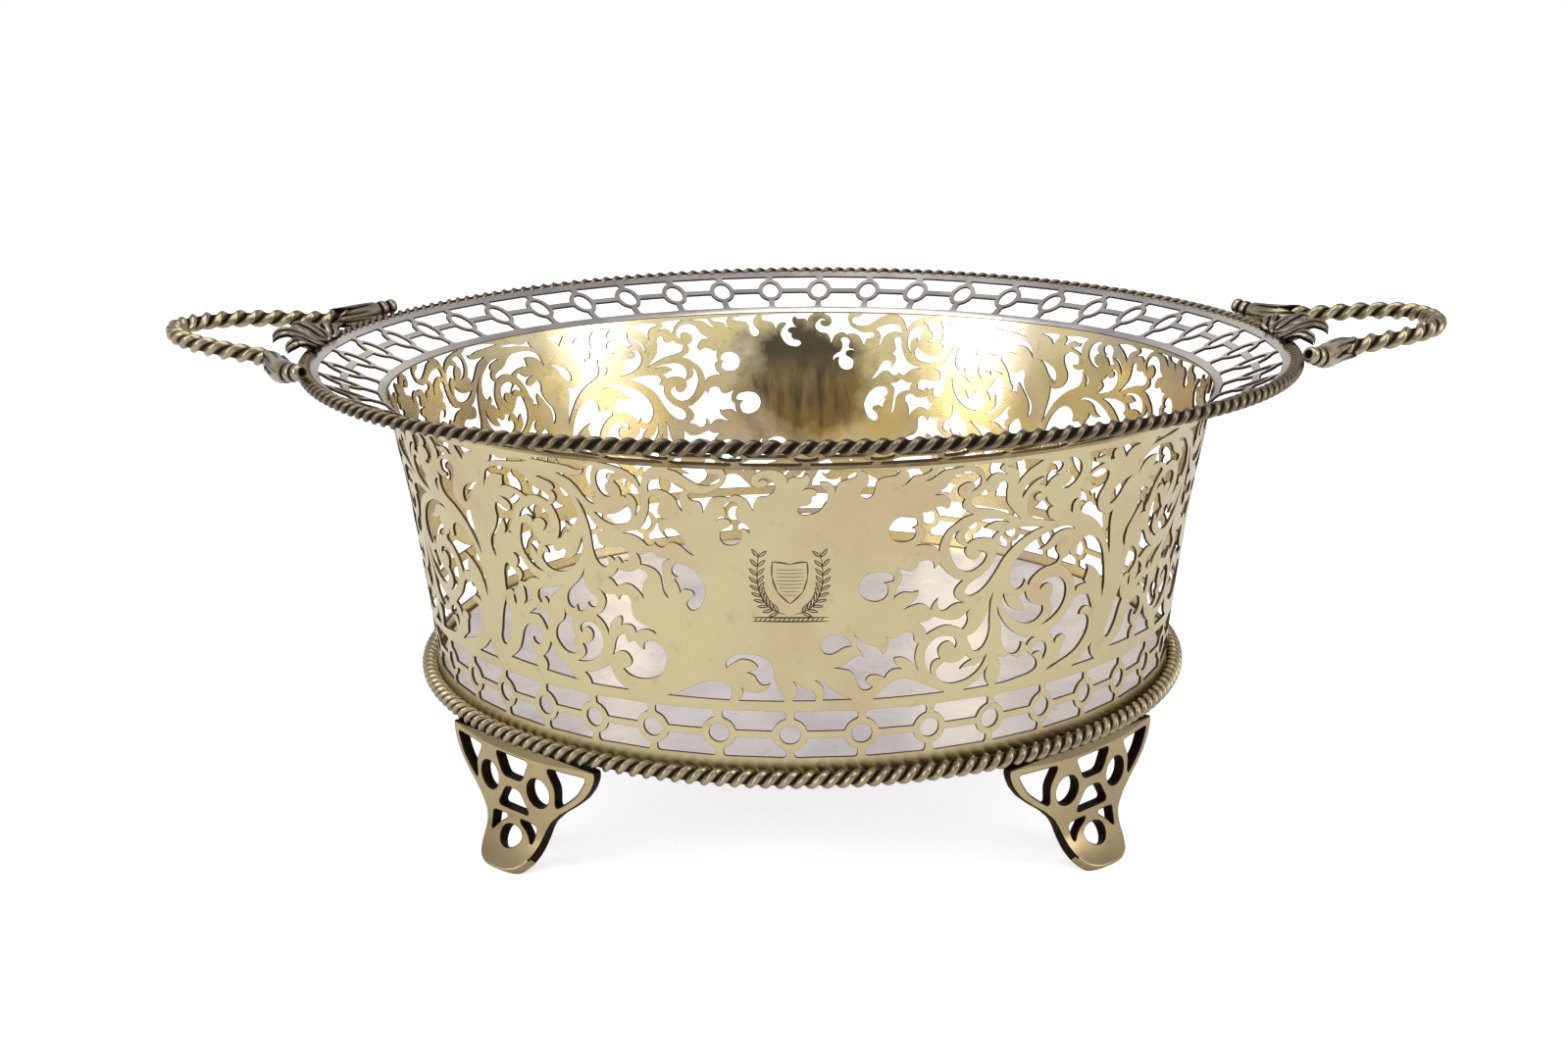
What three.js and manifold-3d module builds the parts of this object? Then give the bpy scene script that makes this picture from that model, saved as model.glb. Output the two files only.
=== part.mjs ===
// Pierced silver basket with a flared ring gallery, rope borders, four pierced feet and two rope handles.
// Millimetres, +Z up. The heights below are measured from a datum that lies `datumDrop` under the table.
import * as THREE from 'three';
import { mergeVertices } from 'three/addons/utils/BufferGeometryUtils.js';
import Module from 'manifold-3d';

const wasm = await Module();
wasm.setup();

// Driving sizes
const datumDrop = 3.2;
const seat = 0.3;
const sheet = 0.9;
const wallFacets = 40;
const wallEdgeSteps = 80;
const rimFacets = 48;
const quarter = Math.PI / 2;

const wallFootRadius = 87.3;
const wallBeltRadius = 88.5;
const wallTopRadius = 95.4;
const wallTopHeight = 95.9;
const rimFlare = 18.15;
const rimRise = 8.5;
const rimRopeRadius = wallTopRadius + rimFlare;
const rimRopeHeight = wallTopHeight + rimRise;
const wallFootHeight = 31.2;
const wallBeltHeight = 46;

const fieldMargin = { below: 1.0, above: 0.3 };
const fieldBottom = wallBeltHeight + fieldMargin.below;
const fieldTop = wallTopHeight - fieldMargin.above;

const lowerCells = 41;
const lowerFirstRing = -1.5 * Math.PI / 180;
const lowerRingHeight = (wallFootHeight + wallBeltHeight) / 2 + 1.0;
const lowerRingHole = 2.0;
const lowerRingWidth = 1.4;
const lowerOpeningTop = wallBeltHeight - 1.2;
const lowerOpeningBottom = wallFootHeight + 3.3;
const lowerBar = 1.7;
const lowerPost = 1.8;

const galleryCells = 47;
const galleryFirstRing = 0.7 * Math.PI / 180;
const galleryRingRadius = wallTopRadius + 0.545 * rimFlare;
const galleryRingHole = 2.0;
const galleryRingReach = 3.2;
const galleryRingWidth = 1.3;
const galleryPost = 1.8;
const galleryBar = 1.6;
const galleryHoleReach = { in: 7.1, out: 3.1 };
const galleryHolesInside = galleryRingRadius - galleryHoleReach.in;
const galleryHolesOutside = galleryRingRadius + galleryHoleReach.out;
const galleryInnerRadius = wallTopRadius - 0.8;
const galleryEdgeHeight = rimRopeHeight - 0.8;
const galleryMiddleHeight = galleryEdgeHeight - 0.32 * rimRise;
const rimDip = 1.5;

const rimRopeThickness = 3.25;
const baseRopeRadius = wallFootRadius + 2.7;
const baseRopeThickness = 3.3;
const baseRopeHeight = wallFootHeight - 0.14;
const ropeSides = 8;

const collarWidth = 6;
const collarInnerRadius = wallFootRadius + 0.7 - collarWidth;
const collarThickness = 1.0;
const plateThickness = 0.9;

const footAngleFromFront = 42.3 * Math.PI / 180;
const footThickness = 2.4;
const footTopHeight = wallFootHeight - 2.1;
const footTopCrown = 0.2;
const footHalfWidth = 23.2;
const footToeReach = 5.4;
const footToeBendHeight = 13;
const footRingHeight = 20.9;
const footRingSpacing = 15.6;
const footRingHole = 3.1;
const footRingWidth = 1.9;
const toeRingHeight = 8.8;
const footFrame = 1.9;

const handleRopeThickness = 4.6;
const handleOverhang = { left: 32.65, right: 35.05 };
const handleRimHeight = rimRopeHeight + 0.5;
const handleTipHeight = handleRimHeight + 3.6;
const handleSpread = { left: 46, right: 37 };
// One arm in the plan of each handle: [share of the way out to the tip, share of the spread]
const handleArm = {
  left: [[0, 1], [0.16, 0.69], [0.29, 0.575], [0.42, 0.53], [0.56, 0.485], [0.68, 0.43], [0.78, 0.37],
    [0.87, 0.285], [0.94, 0.19], [0.98, 0.1]],
  right: [[0, 1], [0.15, 0.71], [0.32, 0.61], [0.48, 0.56], [0.64, 0.51], [0.75, 0.46], [0.84, 0.39],
    [0.915, 0.315], [0.965, 0.22], [0.992, 0.115]],
};
const handleStandOff = 5.05;
const handleStart = rimRopeRadius + handleStandOff;
const handleSides = 8;
const handleSteps = 36;

const capLength = 15;
const capWall = 0.8;
const capSocketWidth = 7;
const capSocketHeight = 6;
const capSocketReach = 7;
const capSocketHollow = 1.9;
const sprayReach = 15;
const sprayHalfWidth = 10;
const sprayThickness = 2.2;
const sprayRise = 0.28;

// Merge the shared corners, drop empty triangles and make the faces point out
function closed(geometry) {
  geometry.deleteAttribute('normal');
  geometry.deleteAttribute('uv');
  const merged = mergeVertices(geometry, 1e-4);
  const p = merged.getAttribute('position');
  const kept = [];
  let volume = 0;
  const a = new THREE.Vector3();
  const b = new THREE.Vector3();
  const c = new THREE.Vector3();
  for (let i = 0; i < merged.index.count; i += 3) {
    const [u, v, w] = [merged.index.getX(i), merged.index.getX(i + 1), merged.index.getX(i + 2)];
    if (u === v || v === w || w === u) continue;
    kept.push(u, v, w);
    a.fromBufferAttribute(p, u);
    b.fromBufferAttribute(p, v);
    c.fromBufferAttribute(p, w);
    volume += a.dot(b.cross(c));
  }
  if (volume < 0) {
    for (let i = 0; i < kept.length; i += 3) {
      [kept[i + 1], kept[i + 2]] = [kept[i + 2], kept[i + 1]];
    }
  }
  merged.setIndex(kept);
  return merged;
}

function toSolid(geometry) {
  const tidy = closed(geometry);
  return new wasm.Manifold(new wasm.Mesh({
    numProp: 3,
    vertProperties: new Float32Array(tidy.getAttribute('position').array),
    triVerts: new Uint32Array(tidy.index.array),
  }));
}

function toGeometry(solid) {
  const mesh = solid.getMesh();
  const geometry = new THREE.BufferGeometry();
  geometry.setAttribute('position', new THREE.BufferAttribute(new Float32Array(mesh.vertProperties), 3));
  geometry.setIndex(Array.from(mesh.triVerts));
  return geometry;
}

// A profile of [radius, height] points turned about Z, with the edges of the facets between ring cells
function turned(points, segments) {
  const profile = points.map(([r, z]) => new THREE.Vector2(r, z));
  if (points[0][0] > 0) profile.push(profile[0].clone());
  const geometry = new THREE.LatheGeometry(profile, segments, Math.PI / segments);
  geometry.rotateX(Math.PI / 2);
  return closed(geometry);
}

// How far the flare hangs down at a point: nothing at the wall, most at the rim beside the handles
function dipAt(x, y) {
  const r = Math.hypot(x, y);
  const share = Math.max(0, (r - wallTopRadius) / (rimRopeRadius - wallTopRadius));
  return rimDip * Math.min(share, 1.2) * (x / r) ** 2;
}

function dipped(geometry) {
  const p = geometry.getAttribute('position');
  for (let i = 0; i < p.count; i += 1) {
    p.setZ(i, p.getZ(i) - dipAt(p.getX(i), p.getY(i)));
  }
  return geometry;
}

function ropeRing(radius, height, thickness, segments) {
  const points = [];
  for (let i = 0; i < ropeSides; i += 1) {
    const a = i / ropeSides * 2 * Math.PI;
    points.push([radius + thickness / 2 * Math.cos(a), height + thickness / 2 * Math.sin(a)]);
  }
  return turned(points, segments);
}

// A sheet or plate with openings, cut flat: `edge` is its outline and `openings` are lists of points
function pierced(edge, openings, thickness) {
  const flat = (points) => points.map(([x, y]) => new THREE.Vector2(x, y));
  const outline = flat(edge);
  if (THREE.ShapeUtils.isClockWise(outline)) outline.reverse();
  const shape = new THREE.Shape(outline);
  shape.holes = openings.map((points) => new THREE.Path(flat(points)));
  return new THREE.ExtrudeGeometry(shape, { depth: thickness, bevelEnabled: false, steps: 1 });
}

// Height or radius read off a list of [position, value] pairs
function readOff(table, at) {
  for (let i = 1; i < table.length; i += 1) {
    const [from, low] = table[i - 1];
    const [to, high] = table[i];
    if (at <= to || i === table.length - 1) return low + (high - low) * (at - from) / (to - from);
  }
  return table[0][1];
}

function circleOutline(x, y, rx, ry, sides, phase = 0.5) {
  const points = [];
  for (let i = 0; i < sides; i += 1) {
    const a = (i + phase) / sides * 2 * Math.PI;
    points.push([x + rx * Math.cos(a), y + ry * Math.sin(a)]);
  }
  return points;
}

// The larger openings of one quarter of the scroll piercing. Each point is
// [millimetres along the quarter from the plain panel's middle, height], drawn for a quarter 142.94 long
const drawnQuarter = 142.94;
const drawnBottom = 47.0;
const drawnTop = 95.6;
const scrollOpenings = [
  [[-30, 91], [-32.5, 94.4], [-37, 95.5], [-26, 95.5], [-28.7, 93.8]],
  [[-20.4, 89.7], [-15.7, 91.2], [-13.4, 94], [-14, 95.4], [-7.5, 95.2], [-5.9, 90.7], [-8.6, 87.3], [-10.8, 90.2],
    [-15.2, 90], [-18, 86.6]],
  [[-2.2, 92.9], [1.2, 94.7], [2.3, 89.4], [-0.3, 87.2], [3.5, 87.2], [5, 90], [4, 92.6], [6.4, 91.4], [10, 95.1],
    [-3.4, 95.4]],
  [[-13.2, 88.8], [-11.5, 85], [-9.5, 82.8], [-12.5, 80], [-15, 81.7], [-13, 84.3]],
  [[22.6, 86], [27.9, 86.4], [25.2, 89.3], [29, 93], [33.4, 92.6], [30, 89.3], [32.6, 84.7], [28.2, 81.7],
    [26.7, 77.9], [22.2, 79.3]],
  [[30.6, 81.3], [30.2, 79.3], [33, 75.4], [36.4, 75], [34, 72.8], [31, 73.7], [29, 77.5]],
  [[-43.5, 87.5], [-38.9, 81.2], [-39.8, 78.2], [-35, 78], [-34, 75.6], [-38.8, 73.8], [-40.9, 75], [-42, 82.6]],
  [[-27.5, 89.2], [-26.4, 85], [-26.6, 82], [-23.8, 82.4], [-20.6, 77.9], [-24.8, 79.9], [-28, 79.4], [-33.8, 81.1],
    [-29.6, 84]],
  [[-46.5, 92.4], [-48, 94.6], [-41, 95.4], [-39.7, 94], [-39.8, 87.1], [-43.5, 90.2]],
  [[-31.8, 77], [-28.8, 77.7], [-25.4, 76.2], [-26.3, 68.8], [-27.8, 73], [-31.2, 75]],
  [[-25, 74.2], [-22.6, 75.3], [-19.1, 72.3], [-19.2, 68], [-21.6, 66.1], [-20.9, 69.3], [-23.6, 70.4]],
  [[-38.9, 71.1], [-36.2, 73.3], [-30.4, 73.2], [-31.3, 67.8], [-34.2, 70.1], [-37, 69.8]],
  [[-42.1, 62.7], [-40, 66], [-41, 68.2], [-34.8, 67.4], [-34, 63.2], [-29.8, 60.6], [-33.7, 60.2], [-37.6, 62.2],
    [-39.9, 59.2]],
  [[-39.3, 54.6], [-36.4, 59], [-32.4, 56.7], [-30, 58.4], [-27.6, 55.5], [-29.5, 51.3], [-35, 50.3], [-35.8, 54.4]],
  [[-40.7, 51.8], [-37.4, 47.3], [-45.2, 47.3], [-46.6, 49.5]],
  [[-44.1, 72.2], [-48.9, 66], [-47.9, 63.7], [-43.2, 64.4], [-42.2, 66.2], [-44.4, 69]],
  [[-50.3, 62.4], [-53.2, 57], [-51, 53.4], [-48.5, 54.4], [-48.8, 61]],
  [[-46, 60.2], [-42.4, 59.6], [-42.4, 54], [-47.8, 52], [-46, 55.2], [-44, 57.8]],
  [[-55.4, 54.2], [-57.6, 50.6], [-57.2, 48], [-49, 47.8], [-52.5, 50.8]],
  [[-67.8, 48.8], [-60.2, 48.6], [-60.4, 52.2], [-57.6, 55], [-59.8, 57.5], [-62.7, 55.8]],
  [[-67, 62.2], [-70.2, 54.5], [-69.6, 51.5], [-66.3, 58.4]],
  [[-67.4, 87.2], [-65.6, 90.5], [-58, 91.5], [-50.6, 86.3], [-56, 86.4], [-62.8, 87.4], [-61.9, 89.7]],
  [[-65.2, 82.8], [-65.8, 79.5], [-68.8, 73.6], [-66.5, 77.2], [-62.2, 77.6], [-58.6, 85.7], [-61, 84.6],
    [-62, 82.3]],
  [[-50.9, 76], [-53.9, 73], [-50.5, 71.1], [-45.6, 73.8], [-44, 78], [-47.5, 74.5]],
  [[-51.6, 90.9], [-46.9, 89.1], [-44.3, 84], [-49.1, 78.8], [-49, 83.4], [-48.7, 87.8]],
  [[32.6, 87.7], [38.9, 90.6], [40.2, 86.4], [42.6, 83.2], [33.3, 86.4]],
  [[47.5, 87.2], [51.5, 83.4], [51, 81.2], [46.3, 82.6], [45, 86]],
  [[58, 86.3], [61.2, 87], [60.8, 89.4], [64.6, 89.2], [63.2, 83], [68.1, 79.8], [69.4, 71.8], [64, 78.6],
    [58.4, 82.3]],
  [[57, 78.1], [52, 78.8], [45.2, 75.3], [42.7, 69.8], [44.6, 67.6], [54.4, 72.2], [53.7, 75.2], [49.2, 75.4],
    [53, 77.9]],
  [[57.4, 73.4], [60.5, 75.3], [65, 74.5], [68.6, 67.5], [69.2, 62.2], [66.2, 67.6], [62.8, 69], [63.1, 65.5],
    [60.6, 64.5], [55.5, 70.9]],
  [[54.3, 56.2], [61, 62.6], [65.1, 61.2], [62.8, 58.6], [65.9, 55.5], [62.5, 50.5], [55.4, 48], [59, 54.7]],
  [[52.6, 58.6], [57.4, 62.5], [56.9, 66.5], [53, 68.2], [53.8, 65.2], [54.3, 61]],
  [[42, 66.4], [44.8, 63], [50.9, 62.5], [50.2, 59.8], [44.7, 61]],
  [[40.7, 63.4], [44.3, 58.3], [49.6, 55.8], [45.3, 53.2], [42.4, 55.5]],
  [[41.7, 53.2], [49, 52.6], [51.6, 49.8], [47.3, 47.7], [41.8, 47.4]],
  [[38.4, 53.2], [35.3, 49.6], [30, 49.1], [27.9, 52], [33, 53.6], [34, 52]],
  [[26.6, 51.8], [25.2, 55], [27.8, 59.1], [30.8, 58], [28.2, 56.6]],
  [[39.2, 66.5], [38.9, 59], [36.4, 55.3], [34.4, 58.4], [37.2, 61]],
  [[48.4, 79.8], [42.3, 76.3], [37.6, 69.6], [33.7, 67.7], [34.5, 70.4], [38.9, 76.5], [40.2, 79.6]],
  [[18.8, 74.6], [25.6, 75.1], [31.8, 70.8], [30.9, 67], [25.9, 65.6], [20.7, 65.9], [23, 69.5], [18.5, 68.6],
    [19.6, 72]],
  [[16.5, 71.2], [16.2, 68.8], [12.5, 68.7], [11.5, 72], [14.2, 73.9], [17.6, 72.8]],
  [[11, 60.6], [17, 58], [21.6, 60.7], [23.5, 57.6], [23.6, 53], [13.2, 51.6], [12.4, 49.2], [8.4, 54], [11.6, 56.6]],
  [[-14.6, 54.2], [-12.3, 56.9], [-6.2, 55.2], [-3.8, 47.4], [-12.4, 47.4], [-11, 49.1], [-6.4, 50.8], [-9.7, 55.2]],
  [[15.3, 47.4], [18.5, 50.4], [22.5, 50.4], [28.8, 47.4]],
  [[-26.9, 47.4], [-19.8, 50.4], [-15.6, 50.5], [-14.9, 47.4]],
];

function scrollCuts() {
  const outlines = [];
  for (let turn = 0; turn < 4; turn += 1) {
    for (const opening of scrollOpenings) {
      outlines.push(opening.map(([x, z]) => [
        -quarter + (turn + x / drawnQuarter) * quarter,
        fieldBottom + (z - drawnBottom) / (drawnTop - drawnBottom) * (fieldTop - fieldBottom),
      ]));
    }
  }
  return outlines;
}

// One ring gallery cell: the hole of the ring and the two openings between it and the next ring
function galleryCell(middle, half, ringAlong, centre, hole, ringAcross, low, high, bar, post) {
  const inner = half - ringAlong;
  const barHalf = bar / 2;
  const between = middle + half;
  const corner = half - post / 2;
  return [
    circleOutline(middle, centre, ringAlong * hole / ringAcross, hole, 6),
    [[between - inner, centre + barHalf], [between + inner, centre + barHalf], [between + corner, high],
      [between - corner, high]],
    [[between - corner, low], [between + corner, low], [between + inner, centre - barHalf],
      [between - inner, centre - barHalf]],
  ];
}

function lowerGalleryCuts() {
  const outlines = [];
  const cell = 2 * Math.PI / lowerCells;
  const outer = (lowerRingHole + lowerRingWidth) / wallFootRadius;
  for (let i = 0; i < lowerCells; i += 1) {
    const cuts = galleryCell(-quarter + lowerFirstRing + i * cell, cell / 2, outer, lowerRingHeight, lowerRingHole,
      lowerRingHole + lowerRingWidth, lowerOpeningBottom, lowerOpeningTop, lowerBar, lowerPost / wallFootRadius);
    outlines.push(...cuts);
  }
  return outlines;
}

function upperGalleryCuts() {
  const outlines = [];
  const cell = 2 * Math.PI / galleryCells;
  const outer = (galleryRingHole + galleryRingWidth) / galleryRingRadius;
  for (let i = 0; i < galleryCells; i += 1) {
    const cuts = galleryCell(-quarter + galleryFirstRing + i * cell, cell / 2, outer, galleryRingRadius, galleryRingReach,
      galleryRingReach + galleryRingWidth, galleryHolesInside, galleryHolesOutside, galleryBar,
      galleryPost / galleryRingRadius);
    outlines.push(...cuts);
  }
  return outlines;
}

// The wall is cut as a flat ring whose radius is the height, then rolled up
const rolledShift = 60;
const wallProfile = [
  [wallFootHeight, wallFootRadius],
  [wallBeltHeight, wallBeltRadius],
  [wallTopHeight, wallTopRadius],
];

function wall() {
  const flat = ([angle, z]) => [(z + rolledShift) * Math.cos(angle), (z + rolledShift) * Math.sin(angle)];
  const openings = [...scrollCuts(), ...lowerGalleryCuts()].map((outline) => outline.map(flat));
  openings.push(circleOutline(0, 0, wallFootHeight + rolledShift, wallFootHeight + rolledShift, wallEdgeSteps));
  const top = wallTopHeight + rolledShift;
  const geometry = pierced(circleOutline(0, 0, top, top, wallEdgeSteps), openings, sheet);
  const p = geometry.getAttribute('position');
  for (let i = 0; i < p.count; i += 1) {
    const angle = Math.atan2(p.getY(i), p.getX(i));
    const z = Math.hypot(p.getX(i), p.getY(i)) - rolledShift;
    const r = readOff(wallProfile, z) - sheet + p.getZ(i);
    p.setXYZ(i, r * Math.cos(angle), r * Math.sin(angle), z);
  }
  return closed(geometry);
}

const galleryOuterRadius = rimRopeRadius - rimRopeThickness / 2 - seat;

const ledgeHeight = wallTopHeight + seat + sheet;
const galleryProfile = [
  [galleryInnerRadius, ledgeHeight],
  [wallTopRadius + 0.5, ledgeHeight],
  [galleryRingRadius, galleryMiddleHeight],
  [galleryOuterRadius, galleryEdgeHeight],
];

function gallery() {
  const flat = ([angle, r]) => [r * Math.cos(angle), r * Math.sin(angle)];
  const openings = upperGalleryCuts().map((outline) => outline.map(flat));
  openings.push(circleOutline(0, 0, galleryInnerRadius, galleryInnerRadius, rimFacets));
  const edge = circleOutline(0, 0, galleryOuterRadius, galleryOuterRadius, rimFacets);
  const geometry = pierced(edge, openings, sheet);
  const p = geometry.getAttribute('position');
  for (let i = 0; i < p.count; i += 1) {
    const r = Math.hypot(p.getX(i), p.getY(i));
    p.setZ(i, readOff(galleryProfile, r) - sheet + p.getZ(i));
  }
  return dipped(closed(geometry));
}

function rimRope() {
  return dipped(ropeRing(rimRopeRadius, rimRopeHeight, rimRopeThickness, rimFacets));
}

function baseRope() {
  return ropeRing(baseRopeRadius, baseRopeHeight, baseRopeThickness, wallFacets);
}

const collarTop = wallFootHeight - seat;

function baseCollar() {
  const outer = baseRopeRadius - baseRopeThickness / 2 - seat;
  return turned([
    [collarInnerRadius, collarTop - collarThickness],
    [outer, collarTop - collarThickness],
    [outer, collarTop],
    [collarInnerRadius, collarTop],
  ], wallFacets);
}

function basePlate() {
  const radius = wallFootRadius - sheet - 2 * seat;
  return turned([
    [0, collarTop + seat],
    [radius, collarTop + seat],
    [radius, collarTop + seat + plateThickness],
    [0, collarTop + seat + plateThickness],
  ], wallFacets);
}

// Half of the foot's outline from the top corner to the toe, as shares of the half width, and heights
const footEdge = [
  [1.0, 28.9], [1.0, 27], [0.955, 24.6], [0.87, 22], [0.74, 19.6], [0.6, 17.4], [0.49, 15], [0.425, 12.6],
  [0.388, 10.2], [0.362, 8], [0.325, 5.9], [0.25, 4.1], [0.14, 3.2],
];

function footOutline() {
  const scale = (footTopHeight - datumDrop) / (29.1 - 3.2);
  const right = footEdge.map(([s, z]) => [s * footHalfWidth, datumDrop + (z - 3.2) * scale]);
  const left = right.map(([s, z]) => [-s, z]).reverse();
  const top = [-0.5, 0, 0.5].map((s) => [s * footHalfWidth, footTopHeight - footTopCrown * s ** 2]);
  return [...right, ...left, ...top];
}

function footHoles() {
  const ringX = footRingSpacing / 2;
  const outer = footRingHole + footRingWidth;
  const bar = footFrame / 2;
  const under = footTopHeight - footFrame;
  const crossBar = footRingHeight - outer - 0.7;
  const half = (sign) => [
    [sign * (ringX + 2.7), under - 0.25],
    [sign * (ringX + outer), footRingHeight + 2],
    [sign * (ringX + outer - 0.3), footRingHeight - 2.4],
    [sign * (footHalfWidth * 0.68), footRingHeight - 0.2],
    [sign * (footHalfWidth * 0.8), footRingHeight + 2],
    [sign * (footHalfWidth * 0.9), under - 0.1],
  ];
  const toe = (sign) => [
    [sign * 2.3, crossBar - footFrame],
    [sign * 7.1, crossBar - footFrame - 0.2],
    [sign * 6.4, toeRingHeight - 0.4],
    [sign * 4.7, toeRingHeight + 1.4],
    [sign * 2.3, toeRingHeight + 3.4],
  ];
  return [
    circleOutline(-ringX, footRingHeight, footRingHole, footRingHole, 8, 0),
    circleOutline(ringX, footRingHeight, footRingHole, footRingHole, 8, 0),
    circleOutline(0, toeRingHeight, footRingHole, footRingHole, 8, 0),
    [[-5.2, under], [-2.9, footRingHeight + bar + 0.4], [2.9, footRingHeight + bar + 0.4], [5.2, under]],
    [[-2.2, footRingHeight - bar], [-5, crossBar], [5, crossBar], [2.2, footRingHeight - bar]],
    half(1),
    half(-1),
    toe(1),
    toe(-1),
  ];
}

// The foot is cut flat, then bent round the base ring, with the toe swept outward
function foot(angle) {
  const geometry = pierced(footOutline(), footHoles(), footThickness);
  const p = geometry.getAttribute('position');
  for (let i = 0; i < p.count; i += 1) {
    const below = Math.max(0, footToeBendHeight - p.getY(i)) / (footToeBendHeight - datumDrop);
    const r = baseRopeRadius - footThickness / 2 + p.getZ(i) + footToeReach * below ** 1.6;
    const turn = angle + p.getX(i) / baseRopeRadius;
    p.setXYZ(i, r * Math.cos(turn), r * Math.sin(turn), p.getY(i));
  }
  return closed(geometry);
}

// Plan points of one handle rope on the +X side, from the rim end of the near arm round to the far arm
function handlePath(side) {
  const spread = handleSpread[side];
  const startX = Math.sqrt(handleStart ** 2 - spread ** 2);
  const reach = rimRopeRadius + handleOverhang[side] - startX;
  const point = (share, width, sign) => new THREE.Vector3(
    startX + share * reach,
    sign * width * spread,
    handleRimHeight + share * (handleTipHeight - handleRimHeight),
  );
  const near = handleArm[side].map(([share, width]) => point(share, width, -1));
  const far = handleArm[side].map(([share, width]) => point(share, width, 1)).reverse();
  return new THREE.CatmullRomCurve3([...near, point(1, 0, 1), ...far]);
}

function handleLoop(side, thickness = handleRopeThickness) {
  const points = [];
  for (let i = 0; i < handleSides; i += 1) {
    const a = i / handleSides * 2 * Math.PI;
    points.push(new THREE.Vector2(thickness / 2 * Math.cos(a), thickness / 2 * Math.sin(a)));
  }
  const geometry = new THREE.ExtrudeGeometry(new THREE.Shape(points), {
    extrudePath: handlePath(side),
    steps: handleSteps,
    bevelEnabled: false,
  });
  return closed(geometry);
}

// Leaf cap: a tapered sleeve round the rope's end, with a hollow socket that sits on the rim rope
function leafCap(side, sign) {
  const path = handlePath(side);
  const end = path.getPoint(0);
  const along = path.getTangent(0.02);
  const bore = handleRopeThickness / 2 + seat;
  const profile = [
    new THREE.Vector2(bore - seat, 0.4),
    new THREE.Vector2(bore + capWall * 1.3, 0.4),
    new THREE.Vector2(bore + capWall, capLength * 0.45),
    new THREE.Vector2(bore + capWall * 0.5, capLength),
    new THREE.Vector2(bore - seat, capLength),
  ];
  profile.push(profile[0].clone());
  const sleeve = new THREE.LatheGeometry(profile, 12);
  const socket = new THREE.BoxGeometry(capSocketWidth, capSocketReach + 4, capSocketHeight);
  socket.translate(0, (4 - capSocketReach) / 2, 0.4);
  const hollow = new THREE.CylinderGeometry(capSocketHollow, capSocketHollow, capSocketReach, 8);
  hollow.translate(0, -capSocketReach / 2 - 1, 0.9);
  const aim = new THREE.Matrix4();
  const across = new THREE.Vector3(0, 0, 1).cross(along).normalize().negate();
  const up = across.clone().cross(along);
  aim.makeBasis(across, along, up);
  aim.setPosition(end);
  sleeve.applyMatrix4(aim);
  socket.applyMatrix4(aim);
  hollow.applyMatrix4(aim);
  const clearRim = dipped(ropeRing(rimRopeRadius, rimRopeHeight, rimRopeThickness + 2 * seat, rimFacets));
  const bored = handleLoop(side, handleRopeThickness + 3 * seat);
  const cast = toSolid(sleeve).add(toSolid(socket));
  const cut = cast.subtract(toSolid(bored)).subtract(toSolid(hollow)).subtract(toSolid(clearRim));
  const geometry = toGeometry(largestPiece(cut));
  if (sign > 0) geometry.scale(1, -1, 1);
  return closed(geometry);
}

function largestPiece(solid) {
  const pieces = solid.decompose();
  pieces.sort((a, b) => b.volume() - a.volume());
  return pieces[0];
}

// Curled spray on the rim between the two arms of a handle
const sprayOutline = [
  [-1.6, 0.3], [2.2, 0.36], [4.6, 0.95], [7.2, 1.0], [8.6, 0.62], [10.4, 0.85], [12.4, 0.62], [13, 0.3], [15, 0],
];

function spray() {
  const right = sprayOutline.map(([u, v]) => new THREE.Vector2(u / 15 * sprayReach, v * sprayHalfWidth));
  const left = right.slice(0, -1).map((v) => new THREE.Vector2(v.x, -v.y)).reverse();
  const geometry = new THREE.ExtrudeGeometry(new THREE.Shape([...right, ...left]), {
    depth: sprayThickness,
    bevelEnabled: false,
  });
  const start = rimRopeRadius - 0.5;
  const rimTop = rimRopeHeight - rimDip;
  const p = geometry.getAttribute('position');
  for (let i = 0; i < p.count; i += 1) {
    const out = p.getX(i) / sprayReach;
    const rise = sprayRise * sprayReach * Math.sin(Math.PI * Math.min(1, Math.max(0, out)) * 0.8);
    p.setXYZ(i, start + p.getX(i), p.getY(i), rimTop - 0.4 + p.getZ(i) + rise);
  }
  const clearRim = dipped(ropeRing(rimRopeRadius, rimRopeHeight, rimRopeThickness + 2 * seat, rimFacets));
  return closed(toGeometry(largestPiece(toSolid(geometry).subtract(toSolid(clearRim)))));
}

const silver = { sheet: 0xcdbf95, rope: 0xa89d86, cast: 0xb0a58c, foot: 0xc9bb96, plate: 0xbdb6b0 };
const group = new THREE.Group();

function put(name, geometry, colour, roughness) {
  geometry.computeVertexNormals();
  const material = new THREE.MeshStandardMaterial({ color: colour, roughness, metalness: 0.95 });
  const mesh = new THREE.Mesh(geometry, material);
  mesh.name = name;
  mesh.position.z = -datumDrop;
  group.add(mesh);
}

put('base_plate', basePlate(), silver.plate, 0.4);
put('base_collar', baseCollar(), silver.sheet, 0.35);
put('base_rope', baseRope(), silver.rope, 0.35);
put('wall', wall(), silver.sheet, 0.35);
put('gallery', gallery(), silver.sheet, 0.35);
put('rim_rope', rimRope(), silver.rope, 0.35);

for (const side of ['left', 'right']) {
  const flip = side === 'left' ? -1 : 1;
  const pieces = {
    [`handle_loop_${side}`]: handleLoop(side),
    [`leaf_${side}_near`]: leafCap(side, -1),
    [`leaf_${side}_far`]: leafCap(side, 1),
    [`spray_${side}`]: spray(),
  };
  for (const [name, geometry] of Object.entries(pieces)) {
    geometry.scale(flip, 1, 1);
    put(name, closed(geometry), silver.cast, 0.32);
  }
}

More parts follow.
